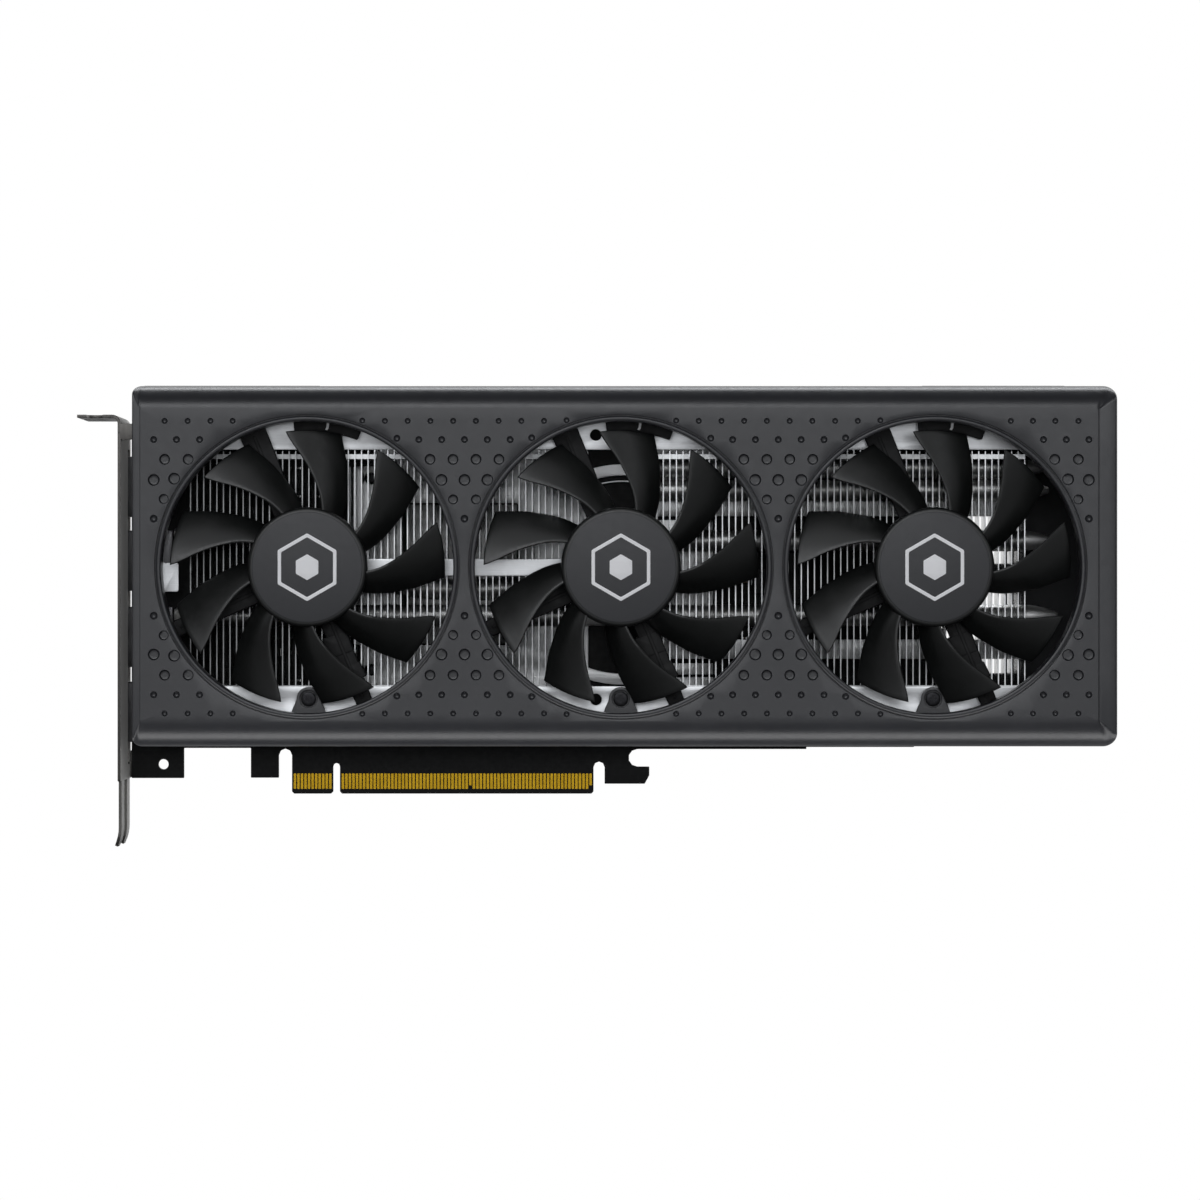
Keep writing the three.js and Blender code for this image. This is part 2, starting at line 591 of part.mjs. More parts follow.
// X and Z of the stamped frame in front of the fins, open to the right
const HEATSINK_FRAME = [
  [-89, 19.5], [158, 19.5], [158, 30.7], [-79.8, 30.7], [-79.8, 45], [-84.2, 45],
  [-84.2, 57], [-79.8, 57], [-79.8, 65.1], [-84.2, 65.1], [-84.2, 83], [-79.8, 83],
  [-79.8, 96.6], [158, 96.6], [158, 108.4], [-89, 108.4],
];
piece('heatsink_frame', alongY(HEATSINK_FRAME, [-25.2, -24.2], [
  ring([36.5, 100.7], 1.6, 12), ring([36.5, 27.0], 1.6, 12),
  ...FAN_X.map((x) => ring([x, TAB_SCREW_Z], 1.45, 12)),
]), MATERIAL.sheet);
piece('heatsink_center_bar', block([-40, 40], [-24.8, -24.1], [61.4, 66.2]), MATERIAL.sheet);

// ---------------------------------------------------------------------- fans
// Each fan part is built about the fan's own axis and shared by all three fans.

const HUB_R = 16.65;
const HUB_FRONT = -36.8;
const HUB_BACK = -28.6;
const BLADES = 9;
const BLADE_BACK = -29.4;            // edge next to the heatsink
const BLADE_FRONT = -36.0;
const BLADE_CAMBER = 0.48;           // forward bulge at mid chord
const BLADE_HALF_T = 0.5;            // half thickness at mid chord
const BLADE_THINNING = 0.14;         // taken off that at both edges
const CHORD_POINTS = 3;
// radius, angle of the back edge, angle of the front edge
const BLADE_STATIONS = [
  [14.8, 14.2, 34.2],
  [21.5, 20.4, 41.6],
  [29.6, 28.7, 51.6],
  [38.06, 35.8, 59.1],
];
// radius and Y of the cup, with its shaft boss inside
const HUB_PROFILE = [
  [0, HUB_FRONT], [15.7, HUB_FRONT], [HUB_R, HUB_FRONT + 1.1], [HUB_R, HUB_BACK],
  [14.3, HUB_BACK], [14.3, -35.2], [3.2, -35.2], [3.2, -33.6],
  [1.55, -33.6], [1.55, -35.8], [0, -35.8],
];

// one closed blade, turned about the axis by `turn`
function blade(turn) {
  const front = [];
  const back = [];
  for (const [r, backAngle, frontAngle] of BLADE_STATIONS) {
    const sweep = frontAngle - backAngle;
    const slope = Math.atan2(BLADE_BACK - BLADE_FRONT, r * sweep * DEG);
    for (let j = 0; j < CHORD_POINTS; j++) {
      const along = j / (CHORD_POINTS - 1);
      const angle = (turn + backAngle + sweep * along) * DEG;
      const y = BLADE_BACK + (BLADE_FRONT - BLADE_BACK) * along
        - BLADE_CAMBER * 4 * along * (1 - along);
      const half = BLADE_HALF_T - BLADE_THINNING * Math.abs(2 * along - 1);
      // half the thickness along the middle surface's normal
      const around = Math.sin(slope) * half;
      const offset = new THREE.Vector3(
        -Math.sin(angle) * around, Math.cos(slope) * half, Math.cos(angle) * around);
      const middle = new THREE.Vector3(r * Math.cos(angle), y, r * Math.sin(angle));
      front.push(middle.clone().sub(offset));
      back.push(middle.clone().add(offset));
    }
  }
  const stations = BLADE_STATIONS.length;
  const F = (i, j) => i * CHORD_POINTS + j;
  const B = (i, j) => stations * CHORD_POINTS + F(i, j);
  const triangles = [];
  const quad = (a, b, c, d) => triangles.push(a, b, c, a, c, d);
  const tip = stations - 1;
  const edge = CHORD_POINTS - 1;
  for (let i = 0; i < tip; i++) {
    for (let j = 0; j < edge; j++) {
      quad(F(i, j), F(i + 1, j), F(i + 1, j + 1), F(i, j + 1));
      quad(B(i, j), B(i, j + 1), B(i + 1, j + 1), B(i + 1, j));
    }
    quad(F(i, 0), B(i, 0), B(i + 1, 0), F(i + 1, 0));
    quad(F(i, edge), F(i + 1, edge), B(i + 1, edge), B(i, edge));
  }
  for (let j = 0; j < edge; j++) {
    quad(F(0, j), F(0, j + 1), B(0, j + 1), B(0, j));
    quad(F(tip, j), B(tip, j), B(tip, j + 1), F(tip, j + 1));
  }
  const geometry = new THREE.BufferGeometry().setFromPoints([...front, ...back]);
  geometry.setIndex(triangles);
  return geometry;
}

function impeller() {
  const blades = Array.from({ length: BLADES }, (_, k) => blade((k * 360) / BLADES));
  return join(turned(HUB_PROFILE, 24), ...blades);
}

const FRAME_FRONT = -28.0;
const FRAME_BACK = -25.6;
const FRAME_Y = [FRAME_FRONT, FRAME_BACK];
// radius and Y of the motor base with its bearing tube
const MOTOR_BASE = [
  [0, FRAME_BACK], [13, FRAME_BACK], [13, FRAME_FRONT], [3.8, FRAME_FRONT],
  [3.8, -33.2], [3.0, -33.2], [3.0, -26.0], [0, -26.0],
];

// radial bar from r0 to r1 with half widths w0 and w1 at its ends
function spoke(angle, [r0, r1], [w0, w1]) {
  const [cos, sin] = polar(1, angle);
  const outline = [[r0, -w0], [r1, -w1], [r1, w1], [r0, w0]]
    .map(([out, across]) => [out * cos - across * sin, out * sin + across * cos]);
  return alongY(outline, FRAME_Y);
}

function ringSector([r0, r1], [start, end], steps) {
  return alongY([
    ...arc([0, 0], r0, start, end, steps), ...arc([0, 0], r1, end, start, steps),
  ], FRAME_Y);
}

// static frame: motor base, three struts with screw ears, and small additions
function fanFrame() {
  const struts = STRUT_ANGLES.flatMap((angle, i) => {
    const [x, z] = EAR_SPOTS[i];
    return [
      spoke(angle, [11, EAR_R], [3.4, i === 0 ? 3.8 : 2.2]),
      rod(3.3, FRAME_Y, 8).translate(x, 0, z),
    ];
  });
  const whole = join(turned(MOTOR_BASE, 18), ...struts,
    // two blocks along the lower strut
    spoke(290.5, [19.9, 26.2], [3.4, 4.0]),
    spoke(295, [29.6, 34.2], [1.8, 1.9]),
    // curved foot that reaches to the upper strut
    ringSector([37.9, 43.2], [69, 96], 3),
    ringSector([40.9, 43.2], [94, 111], 2));
  return cut(whole, ...EAR_SPOTS.map(([x, z]) => rod(1.2, [-30, -20], 6).translate(x, 0, z)));
}

// one T-shaped pole of the stator: angle from its middle, radius
const POLES = 6;
const POLE = [
  [-15, 6.2], [-8.4, 9.8], [-24, 10.2], [-24, 12.1], [0, 12.3],
  [24, 12.1], [24, 10.2], [8.4, 9.8], [15, 6.2],
];

function stator() {
  const outline = Array.from({ length: POLES }, (_, k) =>
    POLE.map(([angle, r]) => polar(r, (k * 360) / POLES + angle))).flat();
  return alongY(outline, [-34.2, -29.6], [ring([0, 0], 4.0, 12)]);
}

const FAN_PARTS = [
  ['frame', fanFrame(), MATERIAL.black],
  ['stator', stator(), MATERIAL.bronze],
  ['bearing', tube(1.6, 2.95, [-33.0, -26.6], 18), MATERIAL.bronze],
  ['shaft', rod(1.5, [-35.7, -26.2], 16), MATERIAL.steel],
  ['magnet_ring', tube(12.6, 14.2, [-35.0, -29.0], 24), MATERIAL.magnet],
  ['impeller', impeller(), MATERIAL.black],
  ['hub_label', rod(15.3, [HUB_FRONT - 0.2, HUB_FRONT], 24), MATERIAL.label],
].map(([part, shape, material]) => [part, surface(shape), material]);

SIDES.forEach((side, i) => {
  const fan = new THREE.Group();
  fan.position.set(FAN_X[i], 0, FAN_Z);
  group.add(fan);
  for (const [part, geometry, material] of FAN_PARTS) {
    addMesh(`fan_${side}_${part}`, geometry, material, fan);
  }
});

export default group;
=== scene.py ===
# Dual-slot graphics card with three fans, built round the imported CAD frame.
# It stands on its long edge: X runs along it with the bracket at -X, the fans face -Y,
# the backplate is at +Y, the gold edge contacts are at the bottom and Z is up.
# Meshes are built in millimetres and scaled to metres when they become objects.
import json
from math import acos, atan2, cos, hypot, pi, radians, sin, sqrt, tan

import bmesh
import bpy
from mathutils import Matrix, Vector
from mathutils.geometry import delaunay_2d_cdt


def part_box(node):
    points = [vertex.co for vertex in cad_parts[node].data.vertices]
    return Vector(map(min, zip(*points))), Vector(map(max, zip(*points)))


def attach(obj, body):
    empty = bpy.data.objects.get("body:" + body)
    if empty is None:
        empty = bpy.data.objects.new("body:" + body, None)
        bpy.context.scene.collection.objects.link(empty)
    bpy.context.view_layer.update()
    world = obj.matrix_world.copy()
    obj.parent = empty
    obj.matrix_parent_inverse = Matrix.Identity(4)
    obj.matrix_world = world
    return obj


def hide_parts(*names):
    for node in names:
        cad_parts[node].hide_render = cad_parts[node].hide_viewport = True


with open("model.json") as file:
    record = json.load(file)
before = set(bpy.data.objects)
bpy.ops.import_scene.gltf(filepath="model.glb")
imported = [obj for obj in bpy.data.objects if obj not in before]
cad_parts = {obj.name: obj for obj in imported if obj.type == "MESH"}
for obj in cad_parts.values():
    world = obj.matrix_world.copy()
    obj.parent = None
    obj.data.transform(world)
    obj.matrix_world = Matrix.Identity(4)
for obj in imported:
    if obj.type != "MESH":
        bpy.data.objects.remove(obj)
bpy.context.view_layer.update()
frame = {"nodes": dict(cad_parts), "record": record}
SCENE = bpy.context.scene
CARD = "card"
TO_METRES = Matrix.Scale(0.001, 4)

# Turns that stand a flat outline (u, v) with thickness w in space.
TO_XY = Matrix.Identity(4)
TO_XZ = Matrix(((1, 0, 0, 0), (0, 0, 1, 0), (0, 1, 0, 0), (0, 0, 0, 1)))
TO_YZ = Matrix(((0, 0, 1, 0), (1, 0, 0, 0), (0, 1, 0, 0), (0, 0, 0, 1)))


# ------------------------------------------------------------------ frame data


def box_mm(node):
    return [[v * 1000 for v in corner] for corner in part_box(node)]


def shaft_center(fan):
    low, high = box_mm(f"fan_{fan}_shaft")
    return (low[0] + high[0]) / 2, (low[2] + high[2]) / 2


COVER_LEFT, COVER_RIGHT = (corner[0] for corner in box_mm("shroud"))
PCB_FRONT, PCB_BACK = (corner[1] for corner in box_mm("pcb"))
PARTS_BACK = PCB_FRONT - 0.1        # rear of the larger parts in front of the board
FAN_CENTERS = {fan: shaft_center(fan) for fan in ("left", "center", "right")}

# Places shared by several pieces.
STRUT_ANGLES = (112.6, 205, 292.5)  # fan struts, and the cover posts they meet
POST_RING_R = 44.2                  # posts from the fan's axis
EAR_DROP = 36.65                    # cover screw below the fan's axis
SPRING_SPOTS = [(x, z) for x in (-27, 27) for z in (35, 89)]

# -------------------------------------------------------------------- outlines


def polar(x, z, radius, degrees):
    angle = radians(degrees)
    return x + radius * cos(angle), z + radius * sin(angle)


def circle(x, z, radius, steps=32):
    return [(x + radius * cos(2 * pi * i / steps), z + radius * sin(2 * pi * i / steps))
            for i in range(steps)]


def arc(x, z, radius, start, end, steps):
    return [polar(x, z, radius, start + (end - start) * i / steps) for i in range(steps + 1)]


def rect(u0, v0, u1, v1):
    return [(u0, v0), (u1, v0), (u1, v1), (u0, v1)]


def round_rect(u0, v0, u1, v1, radius, steps=4):
    radius = min(radius, (u1 - u0) / 2 - 1e-4, (v1 - v0) / 2 - 1e-4)
    return (arc(u1 - radius, v0 + radius, radius, 270, 360, steps)
            + arc(u1 - radius, v1 - radius, radius, 0, 90, steps)
            + arc(u0 + radius, v1 - radius, radius, 90, 180, steps)
            + arc(u0 + radius, v0 + radius, radius, 180, 270, steps))


def turned(points, x, z, degrees):
    """Points (along, across) swung about (x, z)."""
    c, s = cos(radians(degrees)), sin(radians(degrees))
    return [(x + u * c - v * s, z + u * s + v * c) for u, v in points]


def soften(loop, radius, steps=3, only=None):
    """Round the corners of an outline; only(point) picks which."""
    out = []
    for i, point in enumerate(loop):
        p, before, after = Vector(point), Vector(loop[i - 1]), Vector(loop[(i + 1) % len(loop)])
        to_before, to_after = before - p, after - p
        length0, length1 = to_before.length, to_after.length
        if length0 < 1e-6 or length1 < 1e-6:
            continue
        to_before, to_after = to_before / length0, to_after / length1
        angle = acos(max(-1, min(1, to_before.dot(to_after))))
        if angle > radians(165) or (only and not only(point)):
            out.append(tuple(p))
            continue
        cut = min(radius / tan(angle / 2), length0 * 0.45, length1 * 0.45)
        r = cut * tan(angle / 2)
        center = p + (to_before + to_after).normalized() * (r / sin(angle / 2))
        start = atan2(*(p + to_before * cut - center).yx)
        end = atan2(*(p + to_after * cut - center).yx)
        sweep = (end - start + pi) % (2 * pi) - pi
        out += [(center.x + r * cos(start + sweep * j / steps),
                 center.y + r * sin(start + sweep * j / steps)) for j in range(steps + 1)]
    return out


def inside(point, loops):
    """Even-odd test of a point against a set of loops."""
    hit = False
    for loop in loops:
        for (x0, y0), (x1, y1) in zip(loop, loop[-1:] + loop[:-1]):
            if ((y0 > point[1]) != (y1 > point[1])
                    and point[0] < (x1 - x0) * (point[1] - y0) / (y1 - y0) + x0):
                hit = not hit
    return hit


def fill(loops):
    """Triangles over an outline with holes: (points, faces)."""
    points, edges = [], []
    for loop in loops:
        start = len(points)
        points += [Vector(p) for p in loop]
        edges += [(start + i, start + (i + 1) % len(loop)) for i in range(len(loop))]
    corners, _, triangles, *_ = delaunay_2d_cdt(points, edges, [], 0, 1e-6)
    kept = []
    for triangle in triangles:
        middle = [sum(corners[i][axis] for i in triangle) / len(triangle) for axis in (0, 1)]
        if inside(middle, loops):
            kept.append(list(triangle))
    return [tuple(p) for p in corners], kept


def spline(knots, steps):
    """Catmull-Rom through the knots."""
    out = []
    padded = [knots[0], *knots, knots[-1]]
    for a, b, c, d in zip(padded, padded[1:], padded[2:], padded[3:]):
        for j in range(steps):
            t = j / steps
            out.append(tuple(
                0.5 * (2 * q + (r - p) * t + (2 * p - 5 * q + 4 * r - s) * t * t
                       + (3 * q - 3 * r + s - p) * t ** 3) for p, q, r, s in zip(a, b, c, d)))
    out.append(tuple(knots[-1]))
    return out


# ----------------------------------------------------------------------- parts


class Part:
    """Vertices and faces gathered for one mesh, in millimetres."""

    def __init__(self):
        self.points, self.faces, self.smooth = [], [], []

    def add(self, points, faces, smooth=True):
        start = len(self.points)
        self.points += [tuple(p) for p in points]
        self.faces += [[i + start for i in face] for face in faces]
        self.smooth += [smooth] * len(faces)
        return self

    def take(self, other, matrix):
        """Add a moved copy of another part."""
        start = len(self.points)
        self.points += [tuple(matrix @ Vector(p)) for p in other.points]
        self.faces += [[i + start for i in face] for face in other.faces]
        self.smooth += other.smooth
        return self

    def band(self, a, b, closed=True, smooth=True):
        """Quads between two lines of equally many points."""
        n = len(a)
        faces = [[i, (i + 1) % n, n + (i + 1) % n, n + i] for i in range(n if closed else n - 1)]
        return self.add(list(a) + list(b), faces, smooth)

    def loft(self, rings, capped=False, tip=None):
        """Skin over closed rings; capped closes both ends, tip closes the last ring to a point."""
        n, last = len(rings[0]), (len(rings) - 1) * len(rings[0])
        points = [p for ring in rings for p in ring]
        faces = [[i + k, i + (k + 1) % n, i + n + (k + 1) % n, i + n + k]
                 for i in range(0, last, n) for k in range(n)]
        if capped:
            faces += [list(reversed(range(n))), list(range(last, last + n))]
        if tip:
            points.append(tip)
            faces += [[last + k, last + (k + 1) % n, last + n] for k in range(n)]
        return self.add(points, faces)

    def prism(self, loops, turn, low, high):
        """Closed slab with sharp edges over a flat outline with holes."""
        def place(points, w):
            return [turn @ Vector((u, v, w)) for u, v in points]

        points, faces = fill(loops)
        self.add(place(points, low), faces, smooth=False)
        self.add(place(points, high), [face[::-1] for face in faces], smooth=False)
        for loop in loops:
            self.band(place(loop, low), place(loop, high))
        return self

    def plate(self, loops, turn, low, high, bevel, steps=2):
        """Slab with rolled edges over a flat outline with holes."""
        curve = bpy.data.curves.new("tmp", "CURVE")
        curve.dimensions, curve.fill_mode = "2D", "BOTH"
        curve.extrude, curve.offset = (high - low) / 2 - bevel, -bevel
        curve.bevel_depth, curve.bevel_resolution = bevel, steps
        for loop in loops:
            line = curve.splines.new("POLY")
            line.points.add(len(loop) - 1)
            for point, (u, v) in zip(line.points, loop):
                point.co = (u, v, 0, 1)
            line.use_cyclic_u = True
        holder = bpy.data.objects.new("tmp", curve)
        SCENE.collection.objects.link(holder)
        bpy.context.view_layer.update()
        depsgraph = bpy.context.evaluated_depsgraph_get()
        mesh = bpy.data.meshes.new_from_object(holder.evaluated_get(depsgraph))
        slab = Part().add([v.co for v in mesh.vertices], [p.vertices for p in mesh.polygons])
        bpy.data.objects.remove(holder)
        bpy.data.curves.remove(curve)
        bpy.data.meshes.remove(mesh)
        return self.take(slab, turn @ Matrix.Translation((0, 0, (low + high) / 2)))

    def box(self, x0, x1, y0, y1, z0, z1, bevel, steps=2):
        bm = bmesh.new()
        bmesh.ops.create_cube(bm, size=1)
        bmesh.ops.scale(bm, vec=(x1 - x0, y1 - y0, z1 - z0), verts=bm.verts)
        center = ((x0 + x1) / 2, (y0 + y1) / 2, (z0 + z1) / 2)
        bmesh.ops.translate(bm, vec=center, verts=bm.verts)
        bmesh.ops.bevel(bm, geom=list(bm.edges), offset=bevel, segments=steps, profile=0.5,
                        affect="EDGES")
        bm.verts.index_update()
        self.add([v.co for v in bm.verts], [[v.index for v in f.verts] for f in bm.faces])
        bm.free()
        return self

    def block(self, x, z, half_x, half_z, y0, y1, bevel, steps=2):
        """Box centred on (x, z)."""
        return self.box(x - half_x, x + half_x, y0, y1, z - half_z, z + half_z, bevel, steps)

    def lathe(self, profile, x, z, steps, closed=True):
        """Profile of (radius, y) turned about an axis along Y."""
        m = len(profile)
        points = []
        for i in range(steps):
            t = 2 * pi * i / steps
            points += [(x + r * cos(t), y, z + r * sin(t)) for r, y in profile]
        faces = []
        for i in range(steps):
            j = (i + 1) % steps
            for k in range(m if closed else m - 1):
                n = (k + 1) % m
                faces.append([i * m + k, i * m + n, j * m + n, j * m + k])
        return self.add(points, faces)

    def tube(self, points, radius, steps, domed=True):
        """Round tube along points, its ends flat or domed."""
        line = [Vector(p) for p in points]
        tangents = [(b - a).normalized()
                    for a, b in zip(line[:1] + line[:-1], line[1:] + line[-1:])]
        across = Vector((0, 1, 0)) if abs(tangents[0].y) < 0.9 else Vector((1, 0, 0))
        rings = []
        for p, tangent in zip(line, tangents):
            across = (across - tangent * across.dot(tangent)).normalized()
            side = tangent.cross(across)
            rings.append([p + (across * cos(2 * pi * k / steps)
                               + side * sin(2 * pi * k / steps)) * radius for k in range(steps)])

        def dome(p, ring, outward):
            return [[p + outward * radius * q + (v - p) * sqrt(1 - q * q) for v in ring]
                    for q in (0.5, 0.85)]

        if domed:
            rings = (dome(line[0], rings[0], -tangents[0])[::-1] + rings
                     + dome(line[-1], rings[-1], tangents[-1]))
        return self.loft(rings, capped=True)

    def strip(self, path, y, widths, thickness, bevel=0.12):
        """Flat strip along (x, z) points, its width lying along Y's right-angle or across it."""
        rings = []
        for i, (x, z) in enumerate(path):
            a, b = path[max(i - 1, 0)], path[min(i + 1, len(path) - 1)]
            along = Vector((b[0] - a[0], b[1] - a[1])).normalized()
            normal_x, normal_z = -along.y, along.x
            w, h = widths[i] / 2, thickness / 2
            section = [(-w, -h + bevel), (-w, h - bevel), (-w + bevel, h), (w - bevel, h),
                       (w, h - bevel), (w, -h + bevel), (w - bevel, -h), (-w + bevel, -h)]
            rings.append([(x + normal_x * q, y + p, z + normal_z * q) for p, q in section])
        return self.loft(rings, capped=True)

    def mesh(self, name, weld, angle, recalc=True):
        """Mesh with close vertices welded and edges sharper than angle marked."""
        mesh = bpy.data.meshes.new(name)
        mesh.from_pydata(self.points, [], self.faces)
        mesh.update()
        bm = bmesh.new()
        bm.from_mesh(mesh)
        for face, smooth in zip(bm.faces, self.smooth):
            face.smooth = smooth
        if weld:
            bmesh.ops.remove_doubles(bm, verts=bm.verts, dist=weld)
            bmesh.ops.dissolve_degenerate(bm, edges=bm.edges, dist=weld)
        if recalc:
            bmesh.ops.recalc_face_normals(bm, faces=bm.faces)
        bm.to_mesh(mesh)
        bm.free()
        mesh.set_sharp_from_angle(angle=radians(angle))
        mesh.transform(TO_METRES)
        return mesh


def make(name, part, slot, replaces=None, material=None, body=CARD, weld=1e-5, angle=32,
         recalc=True):
    """Object from a part; its material is the slot's own unless another is named."""
    mesh = part.mesh(name, weld, angle, recalc)
    mesh.materials.append(MATERIALS[material or slot])
    made = bpy.data.objects.new(name, mesh)
    SCENE.collection.objects.link(made)
    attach(made, body)
    if replaces:
        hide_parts(replaces)
    return made


# ------------------------------------------------------------------- materials


def feed(tree, socket, value):
    """Link a socket, or set its value; colours are given without alpha."""
    if isinstance(value, bpy.types.NodeSocket):
        tree.links.new(value, socket)
    elif socket.type == "RGBA":
        socket.default_value = (*value, 1)
    else:
        socket.default_value = value


def add_node(tree, kind, **inputs):
    node = tree.nodes.new(kind)
    for name, value in inputs.items():
        feed(tree, node.inputs[name.replace("_", " ")], value)
    return node


class Shader:
    """A material and short ways to add its nodes; each returns an output socket."""

    def __init__(self, name):
        self.material = bpy.data.materials.new(name)
        self.material.use_nodes = True
        self.tree = self.material.node_tree
        self.position = self.node("ShaderNodeTexCoord").outputs["Object"]

    def node(self, kind, **inputs):
        return add_node(self.tree, kind, **inputs)

    def mapping(self, scale):
        return self.node("ShaderNodeMapping", Scale=scale, Vector=self.position).outputs["Vector"]

    def noise(self, scale, detail=3.0, roughness=0.5, vector=None):
        return self.node("ShaderNodeTexNoise", Scale=scale, Detail=detail, Roughness=roughness,
                         Vector=vector or self.position).outputs["Fac"]

    def streaks(self, stretch):
        """Noise stretched differently along each axis."""
        return self.noise(6, detail=6, roughness=0.65, vector=self.mapping(stretch))

    def remap(self, value, low, high, start=0.0, end=1.0):
        """Map start..end onto low..high."""
        return self.node("ShaderNodeMapRange", From_Min=start, From_Max=end, To_Min=low,
                         To_Max=high, Value=value).outputs["Result"]

    def vary(self, value, low, high):
        """Spread the middle of a noise over low..high."""
        return self.remap(value, low, high, start=0.3, end=0.7)

    def mix(self, factor, a, b, blend="MIX"):
        node = self.node("ShaderNodeMix")
        node.data_type, node.blend_type = "RGBA", blend
        for index, value in ((0, factor), (6, a), (7, b)):
            feed(self.tree, node.inputs[index], value)
        return node.outputs[2]

    def mottle(self, value, dark, light):
        return self.mix(self.vary(value, 0, 1), dark, light)

    def math(self, operation, *values):
        node = self.node("ShaderNodeMath")
        node.operation = operation
        for socket, value in zip(node.inputs, values):
            feed(self.tree, socket, value)
        return node.outputs[0]

    def bump(self, height, strength, distance):
        return self.node("ShaderNodeBump", Strength=strength, Distance=distance,
                         Height=height).outputs["Normal"]

    def split(self, vector):
        return self.node("ShaderNodeSeparateXYZ", Vector=vector).outputs

    def facing_x(self):
        """X part of the true normal."""
        geometry = self.node("ShaderNodeNewGeometry")
        return self.split(geometry.outputs["True Normal"])["X"]

    def edge_wear(self, base, worn, radius, amount):
        """A little lighter where the surface turns sharply."""
        bevel = self.node("ShaderNodeBevel", Radius=radius)
        bevel.samples = 4
        geometry = self.node("ShaderNodeNewGeometry")
        dot = self.node("ShaderNodeVectorMath")
        dot.operation = "DOT_PRODUCT"
        feed(self.tree, dot.inputs[0], bevel.outputs["Normal"])
        feed(self.tree, dot.inputs[1], geometry.outputs["Normal"])
        wear = self.remap(dot.outputs["Value"], amount, 0.0, start=0.75, end=1.0)
        patches = self.remap(self.noise(900, detail=4), 0.3, 1.2, start=0.35, end=0.65)
        return self.mix(self.math("MULTIPLY", wear, patches), base, worn)

    def surface(self, color, roughness, normal, metallic=0.0, specular=0.5):
        """Set the principled shader and return the finished material."""
        inputs = self.tree.nodes["Principled BSDF"].inputs
        for name, value in (("Base Color", color), ("Roughness", roughness), ("Normal", normal),
                            ("Metallic", metallic), ("Specular IOR Level", specular)):
            feed(self.tree, inputs[name], value)
        return self.material


def scaled(color, factor):
    return tuple(c * factor for c in color)


def plastic(name, dark, light, roughness, grain, bump, coarse=60, specular=0.5, wear=None):
    """Fine-grained plastic; coarse is the frequency of its slow colour changes."""
    s = Shader(name)
    color = s.mottle(s.noise(coarse), dark, light)
    if wear:
        color = s.edge_wear(color, wear, radius=0.00035, amount=0.35)
    fine = s.noise(grain, detail=2, roughness=0.6)
    voronoi = s.node("ShaderNodeTexVoronoi", Scale=grain * 0.7, Vector=s.position)
    height = s.math("ADD", fine, s.math("MULTIPLY", voronoi.outputs["Distance"], 0.6))
    return s.surface(
        color=color,
        roughness=s.vary(s.noise(coarse * 9, detail=4), *roughness),
        normal=s.bump(height, strength=bump, distance=0.00006),
        specular=specular)


def metal(name, dark, light, roughness, streak, strength, coarse=50):
    """Streaked metal with darker patches."""
    s = Shader(name)
    streaks = s.streaks(streak)
    color = s.mottle(streaks, dark, light)
    patches = s.remap(s.noise(coarse, detail=4), 0.0, 0.35, start=0.45, end=0.75)
    color = s.mix(patches, color, scaled(dark, 0.72))
    grain = s.math("ADD", s.math("MULTIPLY", streaks, 0.6),
                   s.math("MULTIPLY", s.noise(coarse * 4), 0.4))
    return s.surface(
        color=color,
        metallic=1.0,
        roughness=s.remap(grain, *roughness, start=0.35, end=0.65),
        normal=s.bump(streaks, strength=strength, distance=0.00004))


def bracket_metal():
    """Dark nickel; painted light makes the face that looks along the card lighter and less
    metallic.
    """
    lit_face_color = (0.50, 0.49, 0.47)
    s = Shader("bracket_black_nickel")
    # painted light: faces turned towards +X get a lighter, less metallic colour
    lit_face_mask = s.remap(s.facing_x(), 0.0, 1.0, start=0.6, end=0.9)
    streaks = s.streaks((300, 300, 14))
    color = s.mix(lit_face_mask,
                  s.mottle(streaks, (0.070, 0.067, 0.063), (0.110, 0.106, 0.100)),
                  s.mottle(streaks, scaled(lit_face_color, 0.85), lit_face_color))
    return s.surface(
        color=s.edge_wear(color, (0.20, 0.195, 0.19), radius=0.0002, amount=0.5),
        metallic=s.math("SUBTRACT", 1.0, s.math("MULTIPLY", lit_face_mask, 0.85)),
        roughness=s.vary(s.noise(240), 0.36, 0.48),
        normal=s.bump(streaks, strength=0.10, distance=0.00004))


# Painted shade on the fins' edges along the card, darker left of each hub: x in metres, brightness
# factor.
FIN_EDGE_PAINTED_SHADE = [
    (-0.080, 0.30), (-0.058, 0.36), (-0.040, 0.62), (-0.026, 1.0), (0.004, 0.95), (0.010, 0.62),
    (0.034, 0.62), (0.060, 1.0), (0.094, 0.95), (0.100, 0.52), (0.122, 0.52), (0.148, 1.0)]
FIN_EDGE_PAINTED_SHADE_START, FIN_EDGE_PAINTED_SHADE_END = -0.1, 0.2


